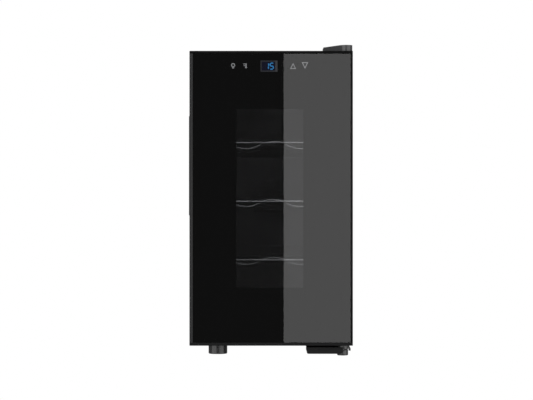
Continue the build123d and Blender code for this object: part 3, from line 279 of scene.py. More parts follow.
side_x = (figure_wide - stroke) / 2
half_z = (figure_high - stroke) / 2
tall_bar = pointed_bar("bar_tall", half_z - bar_gap)
wide_bar = pointed_bar("bar_wide", figure_wide - stroke - bar_gap)
bar_places = {
    "top": (0, half_z, False),
    "middle": (0, 0, False),
    "bottom": (0, -half_z, False),
    "upper_left": (-side_x, half_z / 2, True),
    "upper_right": (side_x, half_z / 2, True),
    "lower_left": (-side_x, -half_z / 2, True),
    "lower_right": (side_x, -half_z / 2, True),
}
door_low, door_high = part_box("door_cap_top")
door_x = (door_low.x + door_high.x) / 2
first_figure_x = door_x - 6.4 * MM
second_figure_x = door_x + 0.95 * MM
figures = [
    (first_figure_x, ("upper_right", "lower_right")),
    (second_figure_x, ("top", "upper_left", "middle", "lower_right", "bottom")),
]
bars_on = []
bars_off = []
for number, (x, shown) in enumerate(figures):
    for part, (dx, dz, upright) in bar_places.items():
        bar = bar_copy(tall_bar if upright else wide_bar, f"bar_{number}_{part}", dx, dz, upright)
        bar.data.transform(Matrix.Translation((x, 0, display_z)))
        (bars_on if part in shown else bars_off).append(bar)
for spare in (tall_bar, wide_bar):
    bpy.data.objects.remove(spare)
lit_bars = join_as("figures_lit", bars_on)
unlit_bars = join_as("figures_unlit", bars_off)
for bars in (lit_bars, unlit_bars):
    use_modifier(bars, "SOLIDIFY", thickness=0.1 * MM, offset=-1)
print("bars lit:", len(bars_on), "bars off:", len(bars_off))

# %% [markdown]
# ## Touch marks
# Beside the display are four marks without words: a lamp, a unit switch drawn as a
# thermometer, and an up and a down arrow. They are clear places in the print with light
# behind. The arrows are circles of three corners with an inset; the lamp is a ring over
# a neck and a short bar. The thermometer is a tall bar with a round foot and two ticks.
# Each place is given in millimetres from the middle of the door and of the display.

# %% Places for the marks, and the ring that most of them start from
mark_y = glass_back - 0.25 * MM
mark_thick = 0.12 * MM
mark_places = {"lamp": (-58.2, 0.6), "unit": (-39.6, 0.9), "up": (33.6, 0.3), "down": (51.8, 0.9)}


def flat_ring(name, x, z, radius, corners, width):
    """A flat ring that faces the front, or a full disc where the width is nothing."""
    work_on(None)
    bpy.ops.mesh.primitive_circle_add(
        vertices=corners,
        radius=radius,
        fill_type="NGON",
        location=(x, mark_y, z),
        rotation=(math.radians(90), 0, 0),
    )
    disc = bpy.context.object
    disc.name = name
    bpy.ops.object.transform_apply(location=True, rotation=True, scale=True)
    if width:
        bpy.ops.object.mode_set(mode="EDIT")
        bpy.ops.mesh.select_all(action="SELECT")
        bpy.ops.mesh.inset(thickness=width)
        bpy.ops.mesh.delete(type="FACE")
        bpy.ops.object.mode_set(mode="OBJECT")
    return disc


def mark_bar(name, x, z, width, height):
    """A short bar of a mark."""
    return upright_plate(name, x, mark_y, z, width, height)


print("places for marks:", list(mark_places))


# %% Model the marks
def arrow(name, x, z, wide, high, up):
    """An outlined triangle that points up or down, with its middle at the place."""
    radius = 6 * MM
    line = 1.2 * MM
    full_wide = radius * math.sqrt(3)
    full_high = radius * 1.5
    mark = flat_ring(name, 0, 0, radius, 3, line)
    mark.data.transform(Matrix.Translation((0, 0, full_high / 2 - radius)))
    mark.data.transform(Matrix.Diagonal((wide / full_wide, 1, high / full_high, 1)))
    if not up:
        mark.data.transform(Matrix.Rotation(math.radians(180), 4, "Y"))
    mark.data.transform(Matrix.Translation((x, 0, z)))
    return mark


def lamp_mark(x, z):
    """A round lamp with a narrowing neck over the last turn of its screw base."""
    ring_z = z + 0.9 * MM
    neck_z = z - 2.6 * MM
    turn_z = z - 3.8 * MM
    turn_high = 0.9 * MM
    neck_end = 0.8
    ring = flat_ring("lamp_ring", x, ring_z, radius=3.1 * MM, corners=24, width=1.4 * MM)
    neck = mark_bar("lamp_neck", x, neck_z, 3.8 * MM, turn_high)
    work_on(neck)
    bpy.ops.object.mode_set(mode="EDIT")
    pick(neck, "EDGE", lambda m: m.z < neck_z - turn_high / 3)
    bpy.ops.transform.resize(value=(neck_end, 1, 1), center_override=(x, mark_y, z))
    bpy.ops.object.mode_set(mode="OBJECT")
    turn = mark_bar("lamp_turn", x, turn_z, 2.6 * MM, turn_high)
    return join_as("mark_lamp", [ring, neck, turn])


def thermometer_mark(x, z):
    """A tube with a round foot and two ticks beside it."""
    tube_x = x + 1.2 * MM
    tube = mark_bar("tube", tube_x, z + 0.7 * MM, 1.7 * MM, 5.4 * MM)
    foot = flat_ring("tube_foot", tube_x, z - 2.6 * MM, radius=1.5 * MM, corners=20, width=0)
    high = mark_bar("tick_high", x - 1.6 * MM, z + 2.4 * MM, 3.0 * MM, 1.2 * MM)
    low = mark_bar("tick_low", x - 1.2 * MM, z - 0.1 * MM, 2.4 * MM, 1.1 * MM)
    return join_as("mark_unit", [tube, foot, high, low])


spots = {
    name: (door_x + across * MM, display_z + rise * MM)
    for name, (across, rise) in mark_places.items()
}
marks = [
    lamp_mark(*spots["lamp"]),
    thermometer_mark(*spots["unit"]),
    arrow("mark_up", *spots["up"], wide=9.3 * MM, high=9.2 * MM, up=True),
    arrow("mark_down", *spots["down"], wide=10.2 * MM, high=10.2 * MM, up=False),
]
for mark in marks:
    use_modifier(mark, "SOLIDIFY", thickness=mark_thick, offset=-1)
print("marks:", [mark.name for mark in marks])

# %% [markdown]
# ## Effects that several finishes share
# Moulded grain, hand smudges, drawn lines and dust turn up on many pieces. Each is a node
# group with a few inputs, so that a finish only says how coarse it wants the effect.
# A group gives out masks and heights that change over the surface; the shader itself stays
# in the material.

# %% Node groups
def new_group(name, inputs, outputs):
    """A shader node group with named inputs and outputs."""
    group = bpy.data.node_groups.new(name, "ShaderNodeTree")
    for label, kind, value in inputs:
        socket = group.interface.new_socket(label, in_out="INPUT", socket_type=kind)
        if value is not None:
            socket.default_value = value
    for label in outputs:
        group.interface.new_socket(label, in_out="OUTPUT", socket_type="NodeSocketFloat")
    start = group.nodes.new("NodeGroupInput")
    end = group.nodes.new("NodeGroupOutput")
    return group, start, end


def add_node(tree, kind, **values):
    """A node with settings, and values for its named inputs in a dictionary called inputs."""
    node = tree.nodes.new(kind)
    for name, value in values.pop("inputs", {}).items():
        node.inputs[name].default_value = value
    for name, value in values.items():
        setattr(node, name, value)
    return node


def moulded_grain():
    """Fine texture of a mould, with a slow change of tone from place to place."""
    sockets = [("Vector", "NodeSocketVector", None), ("Scale", "NodeSocketFloat", 900.0)]
    group, start, end = new_group("moulded_grain", sockets, ["Height", "Tone"])
    fine = add_node(group, "ShaderNodeTexNoise", inputs={"Detail": 3.0, "Roughness": 0.6})
    cells = add_node(group, "ShaderNodeTexVoronoi", feature="SMOOTH_F1")
    slow = add_node(group, "ShaderNodeTexNoise", inputs={"Detail": 4.0, "Roughness": 0.55})
    part = add_node(group, "ShaderNodeMath", operation="MULTIPLY")
    part.inputs[1].default_value = 0.03
    blend = add_node(group, "ShaderNodeMath", operation="MULTIPLY_ADD")
    blend.inputs[1].default_value = 0.6
    link = group.links.new
    for texture in (fine, cells, slow):
        link(start.outputs["Vector"], texture.inputs["Vector"])
    link(start.outputs["Scale"], fine.inputs["Scale"])
    link(start.outputs["Scale"], cells.inputs["Scale"])
    link(start.outputs["Scale"], part.inputs[0])
    link(part.outputs[0], slow.inputs["Scale"])
    link(cells.outputs["Distance"], blend.inputs[0])
    link(fine.outputs["Fac"], blend.inputs[2])
    link(blend.outputs[0], end.inputs["Height"])
    link(slow.outputs["Fac"], end.inputs["Tone"])
    return group


def hand_smudges():
    """Soft wiped patches, as fingers and a cloth leave them."""
    sockets = [("Vector", "NodeSocketVector", None), ("Scale", "NodeSocketFloat", 14.0)]
    group, start, end = new_group("hand_smudges", sockets, ["Smudge"])
    wiped = {"Scale": (1.0, 1.0, 0.45), "Rotation": (0.0, 0.5, 0.3)}
    uneven = {"Detail": 5.0, "Roughness": 0.62, "Distortion": 0.8}
    stretch = add_node(group, "ShaderNodeMapping", inputs=wiped)
    patches = add_node(group, "ShaderNodeTexNoise", inputs=uneven)
    band = add_node(group, "ShaderNodeMapRange", interpolation_type="SMOOTHSTEP")
    band.inputs["From Min"].default_value = 0.48
    band.inputs["From Max"].default_value = 0.72
    link = group.links.new
    link(start.outputs["Vector"], stretch.inputs["Vector"])
    link(stretch.outputs["Vector"], patches.inputs["Vector"])
    link(start.outputs["Scale"], patches.inputs["Scale"])
    link(patches.outputs["Fac"], band.inputs["Value"])
    link(band.outputs["Result"], end.inputs["Smudge"])
    return group


def drawn_lines():
    """Fine lines along one direction, as rolling, drawing or brushing leaves them."""
    even = (1.0, 1.0, 1.0)
    sockets = [("Vector", "NodeSocketVector", None), ("Stretch", "NodeSocketVector", even)]
    group, start, end = new_group("drawn_lines", sockets, ["Line"])
    stretch = add_node(group, "ShaderNodeMapping")
    fine = {"Scale": 60.0, "Detail": 5.0, "Roughness": 0.7}
    lines = add_node(group, "ShaderNodeTexNoise", inputs=fine)
    link = group.links.new
    link(start.outputs["Vector"], stretch.inputs["Vector"])
    link(start.outputs["Stretch"], stretch.inputs["Scale"])
    link(stretch.outputs["Vector"], lines.inputs["Vector"])
    link(lines.outputs["Fac"], end.inputs["Line"])
    return group


def settled_dust():
    """A little dust on faces that look up, broken up into patches."""
    sockets = [("Vector", "NodeSocketVector", None)]
    group, start, end = new_group("settled_dust", sockets, ["Dust"])
    facing = add_node(group, "ShaderNodeNewGeometry")
    split = add_node(group, "ShaderNodeSeparateXYZ")
    up = add_node(group, "ShaderNodeMapRange", interpolation_type="SMOOTHSTEP")
    up.inputs["From Min"].default_value = 0.6
    broken = {"Scale": 22.0, "Detail": 6.0, "Roughness": 0.7}
    patches = add_node(group, "ShaderNodeTexNoise", inputs=broken)
    both = add_node(group, "ShaderNodeMath", operation="MULTIPLY")
    link = group.links.new
    link(start.outputs["Vector"], patches.inputs["Vector"])
    link(facing.outputs["Normal"], split.inputs["Vector"])
    link(split.outputs["Z"], up.inputs["Value"])
    link(up.outputs["Result"], both.inputs[0])
    link(patches.outputs["Fac"], both.inputs[1])
    link(both.outputs[0], end.inputs["Dust"])
    return group


GRAIN = moulded_grain()
SMUDGES = hand_smudges()
LINES = drawn_lines()
DUST = settled_dust()
print("node groups:", [group.name for group in bpy.data.node_groups])

# %% [markdown]
# ## A finish, step by step
# Every finish starts from the piece's own Object coordinates, so its pattern stays on the
# piece when the piece moves. Small helpers wire a mask to a colour between two tones, to a
# range of roughness, or to a bump. A Mix node keeps its sockets for numbers and for colours
# in one row under the same names, so the places in that row are named here.

# %% Helpers for wiring a finish
MIX_SHARE = 0
NUMBER_A, NUMBER_B = 2, 3
COLOUR_A, COLOUR_B = 6, 7
COLOUR_OUT = 2


class Finish:
    """A material being wired: its tree, its shader and the place coordinates."""

    def __init__(self, name):
        self.material = bpy.data.materials.new(name)
        self.material.use_nodes = True
        self.tree = self.material.node_tree
        self.shader = self.tree.nodes["Principled BSDF"]
        self.place = add_node(self.tree, "ShaderNodeTexCoord").outputs["Object"]

    def set(self, **values):
        """Plain values on the shader's own sockets."""
        names = {"ior": "IOR", "transmission": "Transmission Weight", "metallic": "Metallic"}
        names.update(glow="Emission Strength", specular="Specular IOR Level", sheen="Sheen Weight")
        for name, value in values.items():
            self.shader.inputs[names[name]].default_value = value
        return self

    def effect(self, group, output, **values):
        """One of the shared effects, with its own values, as a mask."""
        node = add_node(self.tree, "ShaderNodeGroup", node_tree=group)
        for name, value in values.items():
            node.inputs[name.capitalize()].default_value = value
        self.tree.links.new(self.place, node.inputs["Vector"])
        return node.outputs[output]

    def tone(self, mask, low, high, socket="Base Color"):
        """A colour that moves between two tones as the mask goes from 0 to 1."""
        mix = add_node(self.tree, "ShaderNodeMix", data_type="RGBA")
        mix.inputs[COLOUR_A].default_value = (*low, 1)
        mix.inputs[COLOUR_B].default_value = (*high, 1)
        self.tree.links.new(mask, mix.inputs[MIX_SHARE])
        self.tree.links.new(mix.outputs[COLOUR_OUT], self.shader.inputs[socket])
        return mix

    def over(self, under, mask, colour, share):
        """A second colour laid over a first one where the mask says."""
        part = add_node(self.tree, "ShaderNodeMath", operation="MULTIPLY")
        part.inputs[1].default_value = share
        mix = add_node(self.tree, "ShaderNodeMix", data_type="RGBA")
        mix.inputs[COLOUR_B].default_value = (*colour, 1)
        self.tree.links.new(mask, part.inputs[0])
        self.tree.links.new(part.outputs[0], mix.inputs[MIX_SHARE])
        self.tree.links.new(under.outputs[COLOUR_OUT], mix.inputs[COLOUR_A])
        self.tree.links.new(mix.outputs[COLOUR_OUT], self.shader.inputs["Base Color"])

    def between(self, mask, low, high, socket="Roughness", start=0.3, end=0.7):
        """A number that moves between two ends as the mask rises."""
        ends = {"From Min": start, "From Max": end, "To Min": low, "To Max": high}
        ramp = add_node(self.tree, "ShaderNodeMapRange", inputs=ends)
        self.tree.links.new(mask, ramp.inputs["Value"])
        if socket:
            self.tree.links.new(ramp.outputs["Result"], self.shader.inputs[socket])
        return ramp.outputs["Result"]

    def bump(self, height, strength, depth):
        """A height that tilts the surface, in metres."""
        tilt = {"Strength": strength, "Distance": depth}
        node = add_node(self.tree, "ShaderNodeBump", inputs=tilt)
        self.tree.links.new(height, node.inputs["Height"])
        self.tree.links.new(node.outputs["Normal"], self.shader.inputs["Normal"])
        return self

    def across(self, start, end):
        """A mask that rises from 0 to 1 between two places along X."""
        split = add_node(self.tree, "ShaderNodeSeparateXYZ")
        self.tree.links.new(self.place, split.inputs["Vector"])
        return self.between(split.outputs["X"], 0.0, 1.0, None, start, end)

    def steps(self, mask, colours, kind):
        """Colours that follow each other as a mask rises, each with its place in the mask."""
        ramp = add_node(self.tree, "ShaderNodeValToRGB")
        ramp.color_ramp.interpolation = kind
        stops = ramp.color_ramp.elements
        while len(stops) < len(colours):
            stops.new(1.0)
        for stop, (place, colour) in zip(stops, colours.items()):
            stop.position = place
            stop.color = (*colour, 1)
        self.tree.links.new(mask, ramp.inputs["Fac"])
        return ramp.outputs["Color"]

    def shade(self, colour, by, share):
        """A base colour made darker by a second one."""
        mix = add_node(self.tree, "ShaderNodeMix", data_type="RGBA", blend_type="MULTIPLY")
        mix.inputs[MIX_SHARE].default_value = share
        self.tree.links.new(colour, mix.inputs[COLOUR_A])
        self.tree.links.new(by, mix.inputs[COLOUR_B])
        self.tree.links.new(mix.outputs[COLOUR_OUT], self.shader.inputs["Base Color"])


def dress(finish, *names):
    """Give CAD pieces a finish."""
    for name in names:
        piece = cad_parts[name]
        piece.data.materials.clear()
        piece.data.materials.append(finish.material)


print("finish helpers ready")

# %% [markdown]
# ## Moulded plastics
# The frame, the hinge cover, the fan parts and the liners are moulded, each with another
# grain and gloss. One function makes such a finish from a dark and a light tone, a
# roughness range and a grain size. The door's frame is one plastic in three tones: the sill
# and the left stile are paler, as painted light for the light they catch, and the stile has
# painted shade along its two sides.

# %% Finishes for moulded pieces
grain_depth = 0.04 * MM
hand_scale = 16.0
dust_grey = (0.16, 0.155, 0.15)


def moulded(name, low, high, gloss, scale, strength, smudge=0.0, dust=0.0):
    """A moulded plastic: tone, gloss and grain, with marks of use where asked."""
    finish = Finish(name)
    tone = finish.effect(GRAIN, "Tone", scale=scale)
    colour = finish.tone(tone, low, high)
    rough = finish.between(tone, gloss[0], gloss[1])
    if smudge:
        wiped = finish.effect(SMUDGES, "Smudge", scale=hand_scale)
        add = add_node(finish.tree, "ShaderNodeMath", operation="MULTIPLY_ADD")
        add.inputs[1].default_value = smudge
        finish.tree.links.new(wiped, add.inputs[0])
        finish.tree.links.new(rough, add.inputs[2])
        finish.tree.links.new(add.outputs[0], finish.shader.inputs["Roughness"])
    if dust:
        finish.over(colour, finish.effect(DUST, "Dust"), dust_grey, dust)
    height = finish.effect(GRAIN, "Height", scale=scale)
    return finish.bump(height, strength, grain_depth)


def grey(level, tint=1.04):
    """A grey, with a trace of blue unless its tint says otherwise."""
    return (level, level, level * tint)


def painted_edge_shade(finish, start, width):
    """Painted shade on a strip along its two long sides, where the moulding turns away from the
    light.
    """
    levels = {0.0: 0.45, 0.32: 0.5, 0.45: 1.0, 0.68: 1.0, 0.85: 0.45}
    greys = {place: grey(level, 1.0) for place, level in levels.items()}
    shades = finish.steps(finish.across(start, start + width), greys, "LINEAR")
    base = finish.shader.inputs["Base Color"].links[0].from_socket
    finish.shade(base, shades, 1.0)


matte_black = moulded(
    "matte_black_plastic", grey(0.012), grey(0.02), gloss=(0.5, 0.66),
    scale=1400.0, strength=0.35, dust=0.05,
)
toe_plastic = moulded(
    "toe_plastic", grey(0.01), grey(0.014), gloss=(0.4, 0.52), scale=1400.0, strength=0.3
).set(specular=0.25)
gloss_black = moulded(
    "gloss_black_plastic", grey(0.014), grey(0.021), gloss=(0.22, 0.3),
    scale=700.0, strength=0.08, smudge=0.12,
)
liner_black = moulded(
    "liner_plastic", grey(0.016), grey(0.022), gloss=(0.42, 0.55),
    scale=1100.0, strength=0.3, smudge=0.08,
)
hinge_plastic = moulded(
    "hinge_cover_plastic", grey(0.072), grey(0.082), gloss=(0.13, 0.2),
    scale=1200.0, strength=0.1, smudge=0.03, dust=0.06,
)
white_nylon = moulded(
    "white_plastic", grey(0.62, 0.97), grey(0.7, 0.97), gloss=(0.38, 0.5), scale=1300.0, strength=0.2
)
frosted = moulded(
    "frosted_plastic", grey(0.74, 1.0), grey(0.82, 1.0), gloss=(0.45, 0.6), scale=2200.0, strength=0.4
).set(transmission=0.6, ior=1.49)
black_rubber = moulded(
    "black_rubber", grey(0.013, 1.0), grey(0.022, 1.0), gloss=(0.68, 0.85),
    scale=1800.0, strength=0.5, dust=0.12,
)

door_moulding = {"gloss": (0.36, 0.46), "scale": 1500.0, "strength": 0.2, "smudge": 0.08}
cap_plastic = moulded("frame_plastic", grey(0.003), grey(0.005), **door_moulding)
# Painted light: the sill and the left stile are paler copies of the cap's plastic, for the light that
# falls on them.
sill_painted_light = moulded("sill_painted_light", grey(0.013), grey(0.017), **door_moulding)
stile_painted_light_and_shade = moulded("stile_painted_light_and_shade", grey(0.032), grey(0.038), **door_moulding)
cap_plastic.set(specular=0.1)
sill_painted_light.set(specular=0.1)
stile_painted_light_and_shade.set(specular=0.25)
# Painted shade darkens the left stile along its two long sides.
stile_low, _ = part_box("door_stile_left")
stile_face = 5.1 * MM
painted_edge_shade(stile_painted_light_and_shade, stile_low.x, stile_face)
print("plastics:", len(bpy.data.materials))

# %% Dress the moulded pieces
fan_frames = ("cold_fan_frame", "hot_fan_frame", "fan_guard", "inner_fan_cover")
fan_rotors = ("cold_fan_rotor", "hot_fan_rotor")
dress(matte_black, *fan_frames, *fan_rotors, "rear_posts", "control_tray", "rear_feet")
dress(toe_plastic, "hinge_toe_block")
dress(gloss_black, "handle_cup")
dress(liner_black, "inner_liner", "door_liner", "shelf_runners")
dress(cap_plastic, "door_stile_right", "door_cap_top")
dress(sill_painted_light, "door_cap_bottom")
dress(stile_painted_light_and_shade, "door_stile_left")
dress(hinge_plastic, "upper_hinge_cover")
dress(white_nylon, "temperature_probe", "door_bushes")
dress(frosted, "lamp_lens")
dress(black_rubber, "door_gasket", "cord_gland", "touch_pads", "hot_fan_lead")
print("moulded pieces dressed")

# %% [markdown]
# ## Painted steel
# The cabinet is sheet steel with a satin black powder coat. Powder melts into a skin with
# a fine orange-peel surface, so the bump is a soft noise of about a millimetre. Smudges
# change only the gloss, and a trace of dust lies on the top. The front feet and the lower
# hinge have a thinner grey gloss paint.

# %% Finishes for painted steel
def painted_steel(name, low, high, gloss, peel):
    """Paint on steel: tone, gloss between wiped and clean, and the size of its peel."""
    finish = Finish(name)
    tone = finish.effect(GRAIN, "Tone", scale=500.0)
    colour = finish.tone(tone, low, high)
    finish.over(colour, finish.effect(DUST, "Dust"), colour=(0.2, 0.195, 0.19), share=0.05)
    wiped = finish.effect(SMUDGES, "Smudge", scale=9.0)
    finish.between(wiped, gloss[0], gloss[1], start=0.0, end=1.0)
    height = finish.effect(GRAIN, "Height", scale=peel)
    return finish.bump(height, strength=0.16, depth=0.08 * MM)


cabinet_paint = painted_steel(
    "painted_steel", grey(0.011), grey(0.017), gloss=(0.37, 0.45), peel=650.0
)
foot_paint = painted_steel(
    "foot_paint", grey(0.082, 1.0), grey(0.094, 1.0), gloss=(0.12, 0.18), peel=1200.0
)
dress(cabinet_paint, "cabinet_wrap", "base_plate", "rear_cover", "upper_hinge_plate")
dress(foot_paint, "front_left_pad", "front_right_pad", "lower_hinge_plate")
print("painted steel on the cabinet and the feet")

# %% [markdown]
# ## Bare metals
# Zinc on steel shows pale crystals, chrome wire has faint drawing lines, and the sinks are
# aluminium with rolling lines along their fins, anodised black on the one inside the
# cabinet. All are fully metallic. They differ in the size and direction of their lines and
# in how rough they are.

# %% Finishes for metals
def drawn_metal(name, low, high, gloss, stretch, strength):
    """A metal with fine lines along one direction."""
    finish = Finish(name).set(metallic=1.0)
    line = finish.effect(LINES, "Line", stretch=stretch)
    finish.tone(line, low, high)
    finish.between(line, gloss[0], gloss[1])
    return finish.bump(line, strength, depth=0.02 * MM)


def zinc_coat():
    """Zinc-coated steel with its crystal pattern."""
    finish = Finish("zinc_steel").set(metallic=1.0)
    cells = {"Scale": 240.0, "Randomness": 1.0}
    crystals = add_node(finish.tree, "ShaderNodeTexVoronoi", inputs=cells)
    finish.tree.links.new(finish.place, crystals.inputs["Vector"])
    pale = add_node(finish.tree, "ShaderNodeRGBToBW")
    finish.tree.links.new(crystals.outputs["Color"], pale.inputs["Color"])
    finish.tone(pale.outputs["Val"], (0.42, 0.43, 0.45), (0.6, 0.61, 0.62))
    finish.between(pale.outputs["Val"], 0.3, 0.46, start=0.0, end=1.0)
    return finish.bump(crystals.outputs["Distance"], strength=0.08, depth=0.03 * MM)


along_fins = (30.0, 12.0, 1.5)
chrome_wire = drawn_metal(
    "chrome_wire", (0.66, 0.66, 0.68), (0.78, 0.78, 0.8), gloss=(0.3, 0.38),
    stretch=(3.0, 3.0, 40.0), strength=0.05,
)
aluminium = drawn_metal(
    "aluminium", (0.54, 0.545, 0.56), (0.66, 0.665, 0.68), gloss=(0.3, 0.46),
    stretch=along_fins, strength=0.2,
)
black_aluminium = drawn_metal(
    "black_aluminium", grey(0.012), grey(0.022), gloss=(0.4, 0.55), stretch=along_fins, strength=0.2
)
dark_steel = drawn_metal(
    "dark_steel", (0.05, 0.05, 0.054), (0.1, 0.1, 0.105), gloss=(0.28, 0.42),
    stretch=(4.0, 4.0, 50.0), strength=0.12,
)
zinc_steel = zinc_coat()
dress(chrome_wire, "shelf_bottom", "shelf_middle", "shelf_top")
dress(aluminium, "cold_block", "hot_sink", "glass_spacer")
dress(black_aluminium, "cold_sink")
dress(dark_steel, "foot_nuts")
dress(zinc_steel, "back_plate", "front_left_stud", "front_right_stud", "rear_screws", "unit_screws")
dress(zinc_steel, "hinge_backings", "hinge_pins", "hinge_screws")
print("metals dressed")

# %% [markdown]
# ## Glass
# The front pane is grey tinted glass and the inner one is clear. Both are real glass that
# bends and reflects light. The tint varies very slowly, and where a hand has wiped the
# pane it is a little less sharp.

# %% Finishes for the two panes
def pane(name, low, high, haze):
    """Real glass with a tint, and a haze where it was wiped."""
    finish = Finish(name).set(transmission=1.0, ior=1.5)
    smudge = finish.effect(SMUDGES, "Smudge", scale=7.0)
    finish.tone(smudge, low, high)
    finish.between(smudge, 0.0, haze, start=0.0, end=1.0)
    return finish


tinted_glass = pane("tinted_glass", (0.115, 0.115, 0.118), (0.119, 0.119, 0.122), haze=0.02)
clear_glass = pane("clear_glass", (0.84, 0.86, 0.855), (0.86, 0.875, 0.87), haze=0.03)
dress(tinted_glass, "outer_glass")
dress(clear_glass, "inner_glass")
print("two panes of glass")

# %% [markdown]
# ## Insulation and electronics
# Poured foam is pale yellow with small bubbles. The boards are green with paler tracks,
# which a brick texture draws as short straight runs. The parts on the power board differ
# by where they stand across it, so a colour ramp with hard steps gives each its colour.

# %% Finishes for foam and electronics
def poured_foam():
    """Pale foam with small bubbles."""
    finish = Finish("foam").set(sheen=0.15)
    cells = {"Scale": 420.0}
    bubbles = add_node(finish.tree, "ShaderNodeTexVoronoi", feature="SMOOTH_F1", inputs=cells)
    finish.tree.links.new(finish.place, bubbles.inputs["Vector"])
    finish.tone(bubbles.outputs["Distance"], (0.52, 0.42, 0.2), (0.8, 0.7, 0.44))
    finish.between(bubbles.outputs["Distance"], 0.75, 0.95)
    return finish.bump(bubbles.outputs["Distance"], strength=0.6, depth=0.4 * MM)


def circuit_board():
    """A green board with paler tracks in short straight runs."""
    finish = Finish("circuit_board")
    upright = {"Rotation": (math.radians(90), 0.0, 0.0)}
    runs = {"Scale": 90.0, "Mortar Size": 0.06, "Brick Width": 0.9, "Row Height": 0.3}
    turn = add_node(finish.tree, "ShaderNodeMapping", inputs=upright)
    tracks = add_node(finish.tree, "ShaderNodeTexBrick", inputs=runs)
    finish.tree.links.new(finish.place, turn.inputs["Vector"])
    finish.tree.links.new(turn.outputs["Vector"], tracks.inputs["Vector"])
    finish.tone(tracks.outputs["Fac"], (0.012, 0.075, 0.03), (0.03, 0.16, 0.065))
    finish.between(tracks.outputs["Fac"], 0.3, 0.42, start=0.0, end=1.0)
    return finish.bump(tracks.outputs["Fac"], strength=0.4, depth=0.05 * MM)


def board_parts():
    """Three kinds of parts side by side, each with its own colour."""
    finish = Finish("board_parts")
    low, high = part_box("power_components")
    kinds = {0.0: (0.16, 0.16, 0.17), 0.27: (0.2, 0.115, 0.025), 0.78: (0.012, 0.018, 0.05)}
    colour = finish.steps(finish.across(low.x, high.x), kinds, "CONSTANT")
    tone = finish.effect(GRAIN, "Tone", scale=2200.0)
    finish.shade(colour, tone, 0.7)
    finish.between(tone, 0.3, 0.5)
    height = finish.effect(GRAIN, "Height", scale=1800.0)
    return finish.bump(height, strength=0.2, depth=grain_depth)


foam = poured_foam()
board = circuit_board()
parts = board_parts()
ceramic = moulded(
    "white_ceramic", grey(0.66, 0.97), grey(0.74, 0.97), gloss=(0.5, 0.62), scale=3000.0, strength=0.3
)
dress(foam, "cabinet_foam", "door_foam", "peltier_seal")
dress(board, "touch_board", "cabinet_boards")
dress(parts, "power_components")
dress(ceramic, "peltier_module")
print("foam and electronics dressed")

# %% [markdown]
# ## The print and the lit pieces
# The ink is nearly black with a trace of unevenness. The lit bars and the marks carry light
# from behind, which is never quite even, so a slow noise moves their glow between two
# levels. The display's frame has a painted glow, brighter on the right, for the screen's
# light spilling onto it. The bars that are off are only a shade paler than the screen.

# %% Finishes behind the glass
def lit(name, low, high, strength):
    """A piece with light behind it that varies a little over its length."""
    own_colour = 0.05
    finish = Finish(name).set(glow=strength, specular=0.2)
    tone = finish.effect(GRAIN, "Tone", scale=8580.0)
    finish.tone(tone, low, high, "Emission Color")
    finish.tone(tone, tuple(v * own_colour for v in low), tuple(v * own_colour for v in high))
    finish.between(tone, 0.4, 0.5)
    return finish


def painted_glow_frame():
    """The display's frame, with a painted glow for the screen's spilled light, more on the right."""
    finish = Finish("display_frame_painted_glow").set(glow=1.0, specular=0.2)
    # Painted light: the frame's glow rises towards the right, where the screen's spilled light is
    # stronger.
    brighter_from = display_x + 8 * MM
    brightest_from = display_x + 12 * MM
    spill_to_right = finish.across(brighter_from, brightest_from)
    finish.tone(spill_to_right, (0.06, 0.062, 0.072), (0.115, 0.118, 0.13), "Emission Color")
    finish.tone(finish.effect(GRAIN, "Tone", scale=4000.0), grey(0.03), grey(0.04))
    finish.between(finish.effect(GRAIN, "Height", scale=1500.0), 0.4, 0.55)
    return finish


ink_black = moulded(
    "mask_black", grey(0.002, 1.0), grey(0.004, 1.0), gloss=(0.4, 0.5), scale=900.0, strength=0.05
).set(specular=0.0)
screen_navy = lit("display_navy", (0.0065, 0.0065, 0.03), (0.0085, 0.0085, 0.037), strength=1.0)
frame_painted_glow = painted_glow_frame()
bar_blue = lit("figure_blue", (0.05, 0.4, 1.0), (0.08, 0.48, 1.0), strength=1.2)
bar_dim = lit("figure_dim", (0.01, 0.012, 0.04), (0.013, 0.016, 0.048), strength=1.0)
mark_white = lit("mark_white", (0.52, 0.53, 0.55), (0.66, 0.67, 0.68), strength=1.0)
dress(screen_navy, "display_module")
print("finishes in all:", len(bpy.data.materials))

# %% [markdown]
# ## On the door
# Every new piece lies behind the door's glass, so it rides on the door and swings with it.
# Each also gets its finish, and the table names the finish slot that it stands for.

# %% Put the new pieces on the door
door_pieces = [
    (ink, ink_black, "mask_black"),
    (bezel, frame_painted_glow, "display_navy"),
    (screen, screen_navy, "display_navy"),
    (lit_bars, bar_blue, "display_navy"),
    (unlit_bars, bar_dim, "display_navy"),
]
door_pieces += [(mark, mark_white, "mask_black") for mark in marks]
for piece, finish, slot in door_pieces:
    piece.data.materials.clear()
    piece.data.materials.append(finish.material)
    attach(piece, "door")
print("pieces on the door:", [piece.name for piece, finish, slot in door_pieces])

# %% [markdown]
# ## Floor and studio light
# The floor is a wide pale sheet that runs into a pale surround without an edge. A pane of
# glass mirrors whatever stands in front of it: here a tall soft panel beside the camera,
# which puts a straight-edged paler area on the right of the door. Soft panels left, right
# and above draw bright lines along the round pieces. Inside the cavity a small strip over
# each shelf puts a line on its front wires, with a second strip on the right, where the
# line has to show through the reflection. Each lights its own shelf alone, and a soft fill
# shows the walls behind.

